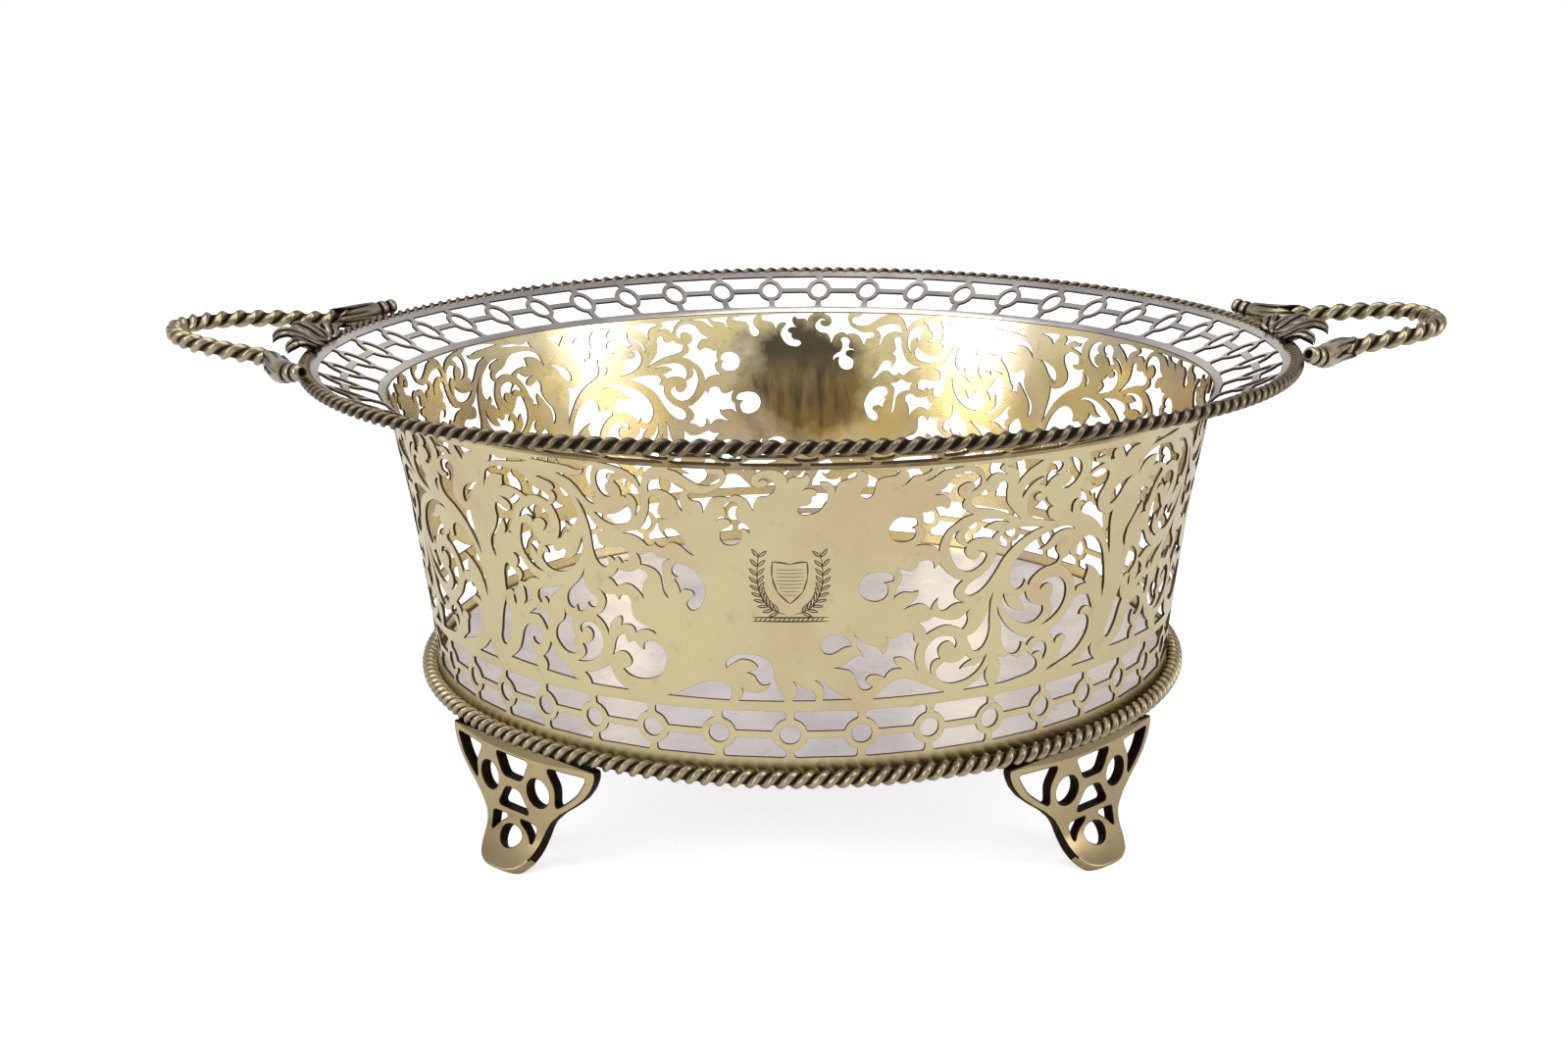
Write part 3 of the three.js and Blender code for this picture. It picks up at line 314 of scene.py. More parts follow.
# One scroll opening to a paragraph: points along and up the unrolled quarter
SCROLL_OPENINGS = """
-29.8,91.1c -30.1,92.4 -31,93.6 -32.5,94.5 -34.8,95.2 -38.5,95.6c -33.5,96 -24.4,96.6c -26.2,95.8 -27.8,95
-28.8,93.8 -29.4,92.4

-24,95.2c -23.4,95.9 -23,96.9c -16.6,96.2c -17,95.5 -16.3,94.7 -15.1,94.5 -14.4,93.9 -14.6,93.1 -15.5,92.5
-17,92.2 -18.2,92.3 -19.5,92.9 -21,93.9 -22.5,94.9

-20.6,89.8 -20.2,90.5 -19.1,90.5 -17.8,90.4 -15.7,91.2 -14.2,92.1 -13.5,93.2 -13.2,94.5 -14.1,96c -6.1,95.8c
-7.2,95.3 -8.3,94.7 -8.8,93.6 -8.6,92.6 -7.7,92 -6.5,92.1 -5.8,92.6 -5.7,93.3 -6.3,93.7 -7.4,93.2c -7,93.8
-6,94.1 -5,93.4 -4.4,92.2 -4.8,91.1 -6,90.3 -7.6,90 -8.2,89.2 -8.6,87.2c -9.1,88.4 -9.8,89.6 -10.8,90.2
-12,90.4 -12.9,89.8c -13.8,90 -15.2,90 -16.4,89.4 -17,88.5 -18,86.4c -18.1,88 -18.6,88.8 -19.8,89

-4.8,95.8c -3.4,95.3 -2.5,94.4 -2.2,92.9c -1.9,93.9 -0.9,94.2 0.2,94.1 1.2,94.9c 1.8,94.3 1.9,93.5 1.4,92.4
0.4,91.3c 1.2,91.8 2.2,91.8 3.2,91.1 3,90.4 2.2,90 2.2,89.2 1.5,88.4 0.2,88.1 -0.4,87.4 0.2,86.6 1.8,86.5
3.5,87.2 4.6,88.6 5.1,90 4.8,91.1 3.8,92.4 3.6,93 4.5,93.2 5.6,92.8 6.2,92 6.4,91c 6.6,92 7.2,93 8.8,93.6
10.1,94.2 10.2,95.2c 5.5,95.6

-13.2,88.8 -12.2,89 -11.4,88.4 -11.8,87.4 -11.9,86.4 -11.4,85.1 -10.2,84.4 -9.5,83.6 -9.4,82.5c -9.9,83.2
-11,83.4 -10.9,82.5 -11.1,81.2 -12.1,80.2 -13.4,80 -14.6,80.5 -15,81.6 -14.8,82.8 -13.8,83.5 -12.9,84.1
-12.9,85 -13.8,85.5 -15.5,85.1c -14.8,85.8 -13.8,86 -13.6,86.9 -13.9,88

10.8,95.3c 11.8,94.9 12.5,93.8 12.1,92 11.2,91 11.2,90.1 12,89.5 13,89.8 13.6,91.1 13.8,92.5 14.2,93.2
15.8,93.8 17.4,94 18.1,94.9c 14.5,95.3

19.1,95c 19.9,94.1 19.9,93.1 19.4,92.2 18.5,91.7c 20,92.6 20.6,93.5 21.9,93.8 23,94 23.8,94.5 24.2,94.9c
22,95.1

23,92.4c 24.2,93.3 24.8,94.2 25.3,94.9c 30.4,94.9c 28.2,94.6 26.5,94.3 25.2,93.5 24.3,92.8

32,94.9c 33.2,94.4 34.2,93.4 34.9,92 35.2,91.2c 35.8,92.2 37,92.8 38.2,92.7 39.4,92.2c 38.4,93 37.9,93.3
37.8,94 38.6,94.5c 37,94.8 34.5,95

22.6,86.1c 24,85.9 25.2,86.6 26.5,86.9 27.9,86.3 28.4,87.2 28,88.2 27,89.2 25.1,89.2c 26,90 27.2,90.8
28,92.2 29,93.2 30.5,93.7 32,93.6 33.2,93 34,91.9 33.8,90.5 33,89.8 32.2,89.4c 33,90.2 32.9,90.9 31.8,91.5
30.5,91.1 29.7,90.4 29.8,89.2 31.2,88c 30.8,87.2 30.9,86.2 31.8,85.4 33.2,84.6c 31.2,84.1 29.8,83.1
28.2,81.8 27.2,80 26.8,77.5c 26,78.5 24.5,79.1 21.7,79.1c 23,79.7 23.6,80.8 23.8,82 22.8,83.1c 23.2,84
23.2,85

22,83.4c 21.9,84.4 20.9,85.2 19.4,85.4 18,84.9 17,83.8 16.7,82.5 17.1,81.2 18.2,80.3 19.8,80.1 21.3,80.6
21.9,81.8 21.6,82.5 21,82.8c

30.8,81.5c 29.9,80.4 30.4,79.2 31.4,78.4 32.4,77.9c 32.1,76.9 32.6,75.9 33.8,75 35,75.2 35.5,76 35,76.8c
36.1,76.5 36.9,75.8 36.6,74.5 35.5,73.4 33.8,72.6 32,72.9 30.5,74 29.5,75.8 28.9,77.5 28.9,79.2 29.5,80.8

32.6,78.6c 32,79.4 31.9,80.4 32.5,81.8 33.8,82.8 35.5,83.2 38,83.1 39.8,82.8 41.2,81.9c 39.8,82.4 38.2,82.6
36.8,82.1 35.8,81.4c 37,81 38.3,80.4 39.2,80.4c 38.4,79.9 37.8,79c 37,79.3 35.2,79.5 33.8,79.3

-47.5,92.4c -45,92.3 -43,92.3 -41.6,92.9 -41.1,93.9c -42.5,93.6 -44.5,94.1 -49,94.4 -53,94.7c -48,95.5
-41,95.7c -40.1,95.2 -38.9,94.6c -39.6,93.2 -40,91 -39.6,89 -39.3,88.3c -40,88.1 -39.8,86.6c -41,87.1
-42.3,88.5 -43.5,90.2 -44.8,91.3 -46.2,91.9

-35.8,88.8c -36.8,88.5 -37.9,89.2 -38.6,90.5 -38.7,92 -38.2,93.4 -37.2,94.1 -36,94.3 -34.3,93.8c -35.2,93.3
-35.7,92.6 -35.8,91.9c -36.5,91.5 -37,90.8 -37,89.9 -36.6,89.1

-35,91.9c -34.1,90.8 -33.8,89.6 -33.9,89c -33.1,88.9 -32.6,88.3c -32.9,89 -32.5,89.6c -31.5,89.1 -30.9,88
-30.9,86.7 -31.4,85.1c -30.5,86.3 -30.1,88 -30.2,89.8 -30.8,91.3 -31.9,92.3 -33,92.6 -34.1,92.3

-40.1,85.1c -39,84 -37.8,83.2 -36.2,82.8 -34.8,83 -33.2,83.5 -32.4,84.5 -32.2,85.5 -33,87.1c -34,86
-35.2,85.2 -37.5,84.7

-27.6,89.5 -26.6,89.3 -26.2,88.5 -26.6,87.3 -26.8,86 -26.2,85.1 -24.4,85c -26,84.7 -26.8,84 -26.9,82.9
-26.2,81.5 -25,80.8c -25.7,81.5 -25.9,82.2 -25,82.8 -23.8,82.7 -22.8,81.7 -22,80.1 -20.3,77.5c -21.6,78.3
-22.6,79.3 -23.6,79.9 -24.8,80 -25.6,79.4 -26.5,78.8 -27.4,79.1 -28,79.8c -28.5,79.2 -29.4,79 -30.1,79.6
-31,80.4 -32,80.9 -34.5,81.1c -33,81.6 -31.5,82 -30,83.2 -29,85.2 -28.4,87.2 -28.2,88.9

-28.2,90.4c -28.2,91.4 -27.5,92.6 -26,93 -24.5,92.9 -23,92.4 -20.8,91.3c -21.9,90.6 -22.4,89.5 -22.2,88
-21.9,86.6c -22.6,87.8 -23.1,89.2 -24.2,90.2 -25.5,90.8 -26.8,90.9

-43.8,87.8c -42.6,86.2 -41.7,84.6 -41,83.3 -40,82 -38.4,81.2c -39.3,80.9 -40,80.1 -40.1,79 -39.6,78.1
-38.2,77.8 -36.5,78 -35,78.2 -34,77.5 -33.6,76.4 -33.9,75.4 -34.8,75.2 -35.1,74.6c -35.6,75.4 -36,75.9
-36.8,74.9c -37.4,75.7 -38.3,75.9 -38.2,74.4 -38.7,73.5 -39.8,73.6 -40.9,74.8 -41.4,76.8 -41.5,79.3
-41.7,81.8 -42.2,84 -42.9,86

-32,77.2c -31,76.9 -29.8,77.4 -28.8,77.9c -27.9,77 -26.5,76.6 -24.9,76.5c -26.2,76 -26.9,75 -26.8,73
-26.6,71 -26.4,69.2 -26,68c -26.9,69.2 -27.2,70.8 -27.4,72.6 -28.3,73.9 -29.8,74.6 -31.3,74.8c -31.4,76

-25,74.1 -24.3,75.3 -22.3,75.4 -20.5,74.4 -19.1,72.5 -18.4,70.5 -18.9,68.2 -20,66.4 -21.6,65.9 -22.4,67.1
-21.8,68.2 -20.8,68.9c -20.9,69.8 -22,70.2 -22.9,70.2 -23.5,69.2c -24,71.2 -24.4,72.1 -23.8,72.8c -24.6,73.1

-39.2,71.2c -37.9,71.5 -36.9,72.5 -36.4,73.5c -35,73 -33.2,73.2 -31.8,73.9 -30.5,73.4 -30.1,72.2 -30.9,71
-31.3,70 -31.2,67.2c -31.9,68.5 -32.8,69.5 -33.8,70.2 -35,70.4 -36,70 -37,69.6c -37.4,70.2 -37.8,70.8

-42.5,62.6c -41.2,63.4 -40.4,64.5 -39.9,66 -40.1,67.1 -41.5,68.8c -39.9,67.6c -38.8,67.6 -37.5,67.9c
-37.1,66.9 -36.8,66.6c -36.4,67.5 -35.2,67.9 -34.3,67.1 -34.2,65.5 -34.1,63.9 -33.5,62.8 -32.2,62.1 -31,61.6
-30,61.1 -29.2,60c -30.5,60.8 -31.8,60.9 -33,60.4 -33.8,60c -34.2,61.2 -35.5,61.6 -37,61.1c -36.6,62.2
-36.8,63.2c -38,62.7 -39.1,61.5 -39.8,60.2 -40,58.4c -40.3,60 -41,61.3

-39.5,54.4c -39,55.8 -38.5,57.5 -37.5,58.9 -36.1,59.3c -36,58.2 -35.5,57.5c -34,58 -33.2,56.9 -32.2,56.4c
-32,57.8 -31,58.5 -29.5,58.4 -28.2,57.4 -27.4,55.8 -27.6,53.8 -28.5,52 -30,50.8 -32,50.1 -34,50 -36,50.5
-37.4,51.7c -36,52.2 -35.2,53.5 -35.5,54.5 -36.4,55.4 -37.5,55.5 -38.8,54.9

-40.5,52.3c -40.1,51 -39.3,49.3 -37.8,47.8 -36.4,47.1c -45.5,47.1c -46,48.5 -47,49.5c -44.5,50 -42.3,51

-44,72.8c -45.1,70.5 -46.9,68.6 -48.6,66.9 -49.2,65.2 -48.8,63.8 -48,63.4 -47,64.3c -46.8,63c -45.4,63.2
-44.6,64.2 -44.1,65.3c -43.6,64.4 -42.7,64.3 -41.9,65.2 -42.1,66.4 -43.2,67.4 -44.3,68.9 -44.4,70.8

-50.5,63.1c -50.4,61.6 -51,60.2 -52.3,59.1 -53.2,57.7 -53.4,56.2 -52.7,54.7 -51.4,53.5 -49.8,53.1 -48.5,53.5
-48.1,54.6 -48.8,56 -48,56.8c -48.7,58 -48.8,59.5 -48.4,61.3c -49.6,61.5

-46.5,58.2c -46.8,59.3 -46,60.4 -44.5,61 -43,60.4 -41.9,59 -41.5,57.3 -41.8,55.5 -42.8,54 -44.2,52.8 -46,52
-48.6,51.8c -47.1,52.5 -46.2,53.7 -46.2,54.8 -46.8,55.8c -45.3,56.1 -44.2,57 -43.8,58.3 -44.2,59.3
-45.1,59.7 -46,59.3

-55.2,54.9c -55.6,53.8 -56.4,52.4 -58,50.9c -57.1,49.9 -57.5,47.9c -48.1,47.4c -50.4,48.4 -50.8,49.7c
-52.5,50.8 -54,52.3

-68.5,48.5c -59.9,48.2c -60.1,49.5 -59.1,50.8c -60.4,51.8 -60.9,53 -60.3,54.8c -59.9,53.8 -59,53.4 -57.9,54
-57.4,55.2 -57.8,56.8 -58.8,57.5 -60,57.7 -61.5,57.2 -62.8,55.8 -63.8,53.5 -64.8,51.5 -66.2,50

-62.5,72.9c -61.4,73 -60.4,72 -59.3,70.6 -57.9,69.3 -55.8,68.1c -57.5,68.4 -59,67.9 -60.2,67 -61.8,67c
-60.9,68.2 -61.2,69.4 -62.3,70c -61.6,70.8 -61.6,72

-66.7,63.7c -66.6,66.5 -66.2,68.7 -65.1,70.2 -63.9,69.6 -62.6,68.2 -62.3,67c -62.8,65.5 -64,64.6 -64.2,61c
-64.9,64.4

-49.8,68c -52.5,67.1 -55.3,66.5 -56.6,65.9 -57.1,64.8 -56.8,63.4 -56.2,63.1c -55.9,64 -55.3,64.6c -54.7,64.1
-54.4,62.9c -53.9,64.3 -53,65.4 -51.5,66.6

-60.3,60c -59.2,60.8 -58.3,61.6c -57,61.3 -55.3,61.7c -55,60.2 -55.2,58.6 -55.8,57.1c -56.3,58.3 -57,59.5
-57.9,60.2 -59,60.2

-61.8,61.7c -61,62.7 -60.8,64.3 -61.1,66c -60,65.3 -59.3,64.3 -59.6,63.6 -58.8,63.3c -60.2,62.7

-66.8,63c -67.5,61.5 -68.5,59.6 -69.4,57.2 -70.2,54.5 -70.9,52.3 -70.3,51.1 -69.2,51.3 -68.3,52.4 -67.2,54.5
-66.6,56.7 -65.8,58.6c -66.8,59.6 -67.3,61

-65.5,92.2c -64.3,92.7 -63.9,93.8c -63,93.9c -62.3,93.5 -58,94 -54,94c -57.5,93.4 -60.5,93.1

-67.9,86.4c -67.3,88.2 -66.4,90 -64.5,91.1 -62,91.6 -59.3,91.6 -57,91.3 -55.5,90.4 -54.4,89.2 -52.8,88.2
-51.2,87.7 -50.2,86.9 -50.5,85.9c -52,86.5 -53.8,86.8 -56.1,86.2c -57.6,87 -59.5,87.6 -61.3,87.7 -63.6,87.1c
-62,88 -61.9,88.8 -61.5,89.8c -63.5,89.9 -65.2,89.5 -66.7,88.4

-65.1,83.4c -65.7,82 -65.6,80.3 -66.2,78.6 -67.4,76.8 -68.8,75.1 -69.2,73.5 -68.9,72 -68.1,71c -68.3,73
-68,74.9 -66.6,77 -65,79.1 -64,80.1c -63.6,79 -64.5,76.4c -63.5,77.3 -61.7,77.1c -62.4,78 -61.4,79.8
-60.4,82.2 -59,84.2 -57.9,85.8 -59.2,86.1c -60.1,85.3 -61,84.8 -62.3,85 -63.8,85.1c -62.2,84.6 -61.2,83.9
-60.9,83.1 -61.1,82.6c -62.4,82.3 -63.8,83

-57,83.7c -57.9,82.9 -58.9,81.3c -57.8,81.9 -56.5,82.2 -55.6,81.8 -55.4,80.8c -55,81.7 -56,82.9

-54.9,81.4c -54,81.9 -52.9,81.9 -52.1,81 -52.4,80 -53.1,79.2c -51.8,80.4 -51.1,82 -51.4,83.4 -52.6,84.3
-54,84.6 -55.4,84.3 -56.1,83.6c -55.2,82.5

-57,80.2 -58.3,80.1 -59.1,78.5 -59.6,76.5 -59.5,74.5 -58.5,72.5 -56.8,71 -54.3,70.2c -56.4,71.5 -57.4,72.8
-57.4,74.3 -57.2,75.8c -56.3,75.2 -55.7,73.6c -55.4,75 -54.2,76.6c -55.3,77.8 -56.2,79.3

-51,76.5c -52.3,76.3 -53.2,76c -52.5,75.3 -52.4,74.5c -53.5,74.5 -54.3,73.4 -53.8,72.2 -52.4,71.2 -50.5,70.9
-48.5,71.4 -46.9,72.4 -45.4,73.9 -44.3,76 -43.6,79.5c -44.6,77 -45.8,75.2 -47.2,74.2 -49,73.9c -48.4,75
-47.8,76.1c -49,75.9 -50.4,75.2

-52.5,91c -50.5,91.1 -48.5,90.4 -46.9,89.2 -45.5,88 -44.8,86.9 -44.3,85.3 -44.2,83.3 -44.9,82 -45.6,81.4c
-46.4,81.7 -46.9,82.2c -47.2,80.9 -46.2,80c -47.6,79.7 -48.4,78.8 -49.5,78.1c -48.9,79.6 -48.6,81.5 -49,83.4
-49.9,85.3c -49.1,85.9 -48.5,87 -48.9,88.1 -49.9,88.5c -48.6,88.9 -49,89.9 -50.6,90.5

67.1,81.7c 68.5,82.2 69.8,83.5 71,85.3 72,86.3 73.2,86.9c 71.5,86.5 70,86 68.6,85.4 67.4,84.3 66.9,83

39.1,93.9c 40.6,93.5 41.8,92.7 42.2,91.5 42,89.8c 42.8,91.2 44,92.4 45.5,93.4 47,94.2c 44,94.7 41,94.6

32.5,87.8 33.6,88.4 34.5,88.8 35.2,89.5 36,89.1 37,88.9 37.8,89.5 38,90.4 38.9,90.8 39.6,90.4 39.8,88.2
40.2,86.3 41.5,84.6 43.6,82.5c 41,83.8 39.3,84.5 37,85.3 34.6,85.7 33.1,86.3c

43.4,86.7c 43.6,88.3 44.4,89.6 45.8,90.5 48,90.7c 46,90 44.9,89.1 44.1,88

47,89.2c 47.8,89 48.7,88.5c 49.3,89.5 50.3,90.4 51.2,90.7c 50.1,91.2c 51.7,91.8 51.9,92.8 51,93.4 49.5,93.5
48.3,92.6 48.3,91 47.9,90

52.9,93.8c 54.3,93.8 55.8,93.1 56.7,92 57,90.5 56.3,89 55,87.9 53.6,87.4 52.5,87.7c 53.9,88.2 54.7,89.1
54.5,90.2 53.7,90.9 52.7,91c 53.9,91.5 54.3,92.4 53.8,93.2

47.7,87.2c 46.9,87.3 46.3,86.4c 46.9,85.7 48.2,85.4 49,86.5c 49.5,85.3 50.3,84.5 51.7,83.5c 50.4,83.9
49.9,83.2 50.3,82 52.1,80.8c 49.3,81.4 47.3,82 45.6,83.2 44.8,84.7 44.9,86.3 45.5,87.4 46.7,87.8

57.3,84.7c 56,84.4 55.4,83.6 55.7,82.5 56.4,81.8c 56.3,82.8 56.3,83.6 56.6,84.1

58,94.1c 61,94.3 64.5,94c 66.1,93.9c 65.3,93.3 65.3,92.5 65.9,91.7c 64.8,91.6c 64.1,92.5 62.8,92.9 61.3,92.6
60.2,92.8c 60.5,91.9 61.5,91.5 63.4,91.2c 61.5,90.7 60.3,90.2 59.3,89.4c 59.7,91.2 59.3,92.6

57.7,86.6c 59.2,85.8 60.8,85.8 61.8,86.3 61.6,87c 60.3,87.2 60,88.2 60.4,89.2 61.4,89.8 62.7,90 64.2,89.6
65.1,88.8 65,87.5 64.3,86 63.3,84.4 63.1,83 63.6,81.5 64.7,80.4 66,79.8 67.5,79.7 68.4,80.2c 68.3,78 68.8,75
69.3,72.5 69.8,70.2c 68.4,73 67.3,74.8 65.8,76.9 64,78.6 62,80 60.3,80.8 58.9,81.6 58,82.9 57.9,84.2
58.2,85.2c

49,75.1c 51,76 52.3,77.5 53.6,78.2 55.2,78.5 58,78c 55.3,79.1 53,79 51,78.6 49,77.8 47,76.8 45.2,75.4 44,74
43,72.3 42.6,70.6 43,69 44,67.6c 45.1,67.3 46.1,68 46.4,69.2c 47.5,67.6c 47.9,68.8 49.2,70 51,70.9 53,71.2
54.3,71.7 54.6,72.7 53.8,73.8 53.4,74.8 54,75.8c 52.8,75 51,74.6

57.1,73.7c 57.6,72.6 58.4,72.1 59.4,72.4c 59.4,74 60,75 61,75.6 62.6,75.7 64.3,75 66,73.5 67.2,71.7
68.1,69.5 68.8,67 69.3,64.5 69.4,62.5 69.2,61c 68.5,64 67.6,66 66.2,67.6 64.3,68.9 62.4,69.6c 63.4,68.3
63.1,67 62.8,66.1 63.4,65.2c 62,65.2 60.9,64.9 60.5,63.9c 60,65.3 59.5,66.7 58.6,68.2 57.1,69.7 55.3,70.7c
55.3,71.5 56.2,72 56.9,72.4

54,56c 55.5,57.2 57.2,58.4 58.6,59.8 59.6,61.4 60.4,62.4 61.6,62.9 63,62.9 64.3,62.5 65.2,61.3 65.9,60
66.3,59c 65.2,59.8 64,60 63,59.5 62.6,58.4c 63.5,58.3 64.8,57.9 65.6,57 65.9,55.5 65.4,53.7 64.2,52
62.5,50.5 60.5,49.6 58.2,48.9 56,48.2 54.5,47.7c 56.2,48.9 57.6,49.9 58,51 58.5,52.8 59.3,54.2 58.7,54.9
57.6,55c 56.6,54.5 56.1,53.2c 55.6,54.6 54.9,55.5

68.1,51.2c 67.5,50.2 67.9,48.7 69.6,47c 62,47c 64.3,48.1 66,49.4

51.8,58.3c 53.5,58.8 55.3,59.8 56.8,61.3 57.6,62.9 57.7,64.6 57.2,66.3 56,67.6 54.4,68.3 52.7,68.4 51.3,68
50.6,67.2 50.6,66.2c 51.3,67 52.3,67.3 53.3,66.9 53.9,65.9 53.7,64.8 53,63.8c 53.8,62.7 54.3,61.5 54.1,60.2
53.2,59.1

41.7,67c 42.1,65.4 43.1,63.9 44.8,62.8 46.9,62.5c 46.4,63.8 45.8,64.9 44.7,65.6c 46,65.9 46.9,66.5c
47.3,65.2 48.1,64.1 49.6,63.2 51.6,62.6c 51.9,61.5 51.3,60.4 50.2,59.6 48.3,59.3 46.5,59.8 44.7,60.8 43,62.3
42,63.9 41.5,65.4

40.4,64.3c 41.2,62.2 42.4,60.3 44.3,58.4 46.1,57.1 48.2,56.3 50.5,55.9c 49.4,55.4 48.6,54.3c 47.9,55.1
47.1,55.4c 47,54.3 46.4,53.4 45.3,53.1 44,53.5 42.9,54.6 42.2,56.3 41.9,58.1 41.6,60 40.9,62

50.2,53.6 51,54.4 52.3,54.6 53.4,54 54,52.8 53.8,51.3 53.1,50.3c 53.1,51.6 52.5,52.3 51.2,52.4 50.4,52c

41.4,53.5c 42.5,52.9 44.5,52.9 46.4,52.1c 47.4,52.4 48.7,53c 49.5,52.4 50.8,51.4 51.7,50.2 51.7,49 50.5,48.2
47.3,47.6 43.5,47.1 41.4,47.1c 42.1,48.6 42.4,49.6 42.5,50.9 42,52.2

39.7,51.9c 38.9,50 39.1,48.5 40.1,47c 33.9,46.9c 36,48 37.6,49 38.5,50.2

38.8,54.2c 38.3,52.5 37.1,50.8 35.3,49.5 33.2,48.9 31,48.8 29.2,49.4 28,50.5 27.7,51.8 28.5,53 29.6,53.7c
31.5,53.2 33.2,53.8 34,54.7c 34.7,54 35.5,53.4c 34.5,53 33.6,52.4 33,51.6c 34.5,52 36.5,52.1 37.9,53

26.8,51.3c 25.6,52.8 25.1,54.8 25.2,56.5 26.2,58.2 27.8,59.2 29.5,59.3 31,58.8 31.8,57.6 31.5,56.4c
31.1,57.4 30,58.1 28.8,57.8 27.9,56.5 28,55.5 28.5,54.4c 27.2,54.2 26.6,53.2

39.3,67.5c 38.9,66 38.8,64 38.9,61.5 39,59 38.5,57 37.5,55.6 36.4,55.1 35.4,55.6 35,56.7c 34.4,57.5
34.1,58.7c 35.7,59.4 37.2,61.1 38.1,63.3 38.5,65.5

49.4,79.8c 47.4,79.4 45.8,78.7 44,77.6 42.3,76.2 40.8,74.5 39.6,72.4 38.7,70.9 37.6,69.4 36.3,68.2 34.9,67.5
33.7,67.4 32.9,68.1 33.2,69.4 34.5,70.5 36.2,71.4 37.5,72.6 38.6,74.1 39,75.6 38.9,77c 40.4,77.7c 39.5,78.7
40,79.7 42,80.3 44.5,80.5 47,80.2

23.1,62.8c 24.1,62.1 24.9,61.2 25.2,60c 26.5,60.8 28,61.4 29.8,61.6 31.2,61.1 32.9,60.3c 33.8,61.5 33.9,62.5
33.7,63.4 34.4,64.6c 33.1,63.5 32.4,62.9 30.5,62.6 28,63.2 26.6,63.8c 25.5,63 24.2,62.8

18.4,74.9c 20.2,74.1 21.4,73.8 22.4,74.3 23,75.5 24,75.9 25.2,75.7 25.9,74.9 26.1,73.9c 26.9,75c 27.7,74
29,72.6 30.6,71.4 32.3,70.8c 31.3,70 30.6,68.8 30.9,67.3 31.8,66.5 32.8,66c 31.3,66.1 30,65.6 29,64.9
28,64.9 27.3,65.8 27.3,67.5c 26.4,66.6 25.9,65.2c 25,66.2 23.5,66.8 22,66.5 19.9,65.6c 21.9,67.1 22.8,68.1
23.1,69.6c 22,69.3 20.3,69.5 19,69.1 18,68c 18.5,69.4 18.7,70.7 19.6,71.9 19.4,73.4

16.1,71.7c 16.8,71 17,69.7 16.4,68.5 15,67.9 13.4,68.1 12,69 11.3,70.4 11.4,72 12.4,73.4 14.2,74 16.3,73.9
17.7,73.3 18,72c 17,71.8

10.4,61.1c 11.5,60.3 12,59.5 13.3,58.8 15,58.2 15.9,57.4 16.3,56.5c 17.1,57.2 17.4,58.7 17,60 16.1,60.8c
17.5,59.8 19.3,60.1 20.8,60.9 22,60.7 22.6,59.9 22.7,58.8 23.6,58.2c 23.2,57 23,55.5 23.3,53.8 24,52.3c
23,53.6 21.7,54.9 20.3,55.6 18.6,55.5c 19.1,54.3 20.6,52.9c 18.8,53.2 17.6,52.5 16.9,51.4c 16,51.9 14.8,52.2
13.5,51.9 13,50.9 13.5,50.1 14.5,49.8c 13.6,49 12.4,49.1 11.6,49.8 11,51.3 10.6,52.5 9.6,53.4 8.2,53.8
6.4,54.1c 8,54.4 9.6,55.4 10.7,56.2 11.7,56.5 12.6,56c 11.9,57.3 11.1,58.6 11.2,59.8

10,58.6c 8.4,58.3 7,57.4 5.8,57 4.5,57.4 3.9,58.6 4.2,60 5.7,61 7.5,61 9.2,60.2

-14.9,53.9c -15.1,54.8 -14.2,56.1 -12.3,57 -10,57.1 -7.8,56.5 -6.1,55.3 -5.4,53.5 -5.3,51.6 -4.5,49.8
-3.7,48.5 -3.5,46.9c -12.8,46.9c -12,48 -11.8,49.2 -12.3,50c -11.2,49.1 -9.3,48.7 -7.5,49.1 -6.2,50.9c
-6.8,50.5 -7.6,50.4 -8.6,51.1 -9.3,52.3 -10,52.8 -11.1,53c -9.8,53.4 -8.6,54.3c -9.2,55.1 -10.5,55.8
-12.2,55.8 -13.7,54.9

-1.7,51.3c -0.6,50.8 0,50.1 0.9,49.6 2.2,49.1 2.9,48.1 2.8,47c -1.8,47c -1,48.3 -0.8,49.7 -1.1,50.6

2.6,51.5c 4.2,51.1 5.7,49.9 7.4,48.5 8.9,47.7 10.4,47.1c 4.3,47.1c 4.6,48.5 4.4,49.9 3.7,50.8

14.6,46.9c 16,48.2 17.2,49.5 18.5,50.5 20.3,51 22.5,50.5 25,49.4 27.5,48.1 29.9,47c

-27.9,47c -24.8,48.1 -22.3,49.4 -19.8,50.5 -17.3,51 -15.5,50.6 -14.1,49.5 -14.1,48.2 -14.7,46.9c

67.6,93.9c 69.5,91.2c 70,92.3 71.2,93.1 73.6,93.5c 70.5,94.1"""


def unit(v):
    return v / (np.linalg.norm(v, axis=-1, keepdims=True) + 1e-12)


# Points of an outline; a c after a point marks a sharp corner
def read(text):
    words = text.split()
    points = [[float(value) for value in word.rstrip("c").split(",")] for word in words]
    return np.array(points), [word.endswith("c") for word in words]


def curve(start, middle, end, t):
    return (1 - t) ** 2 * start + 2 * t * (1 - t) * middle + t * t * end


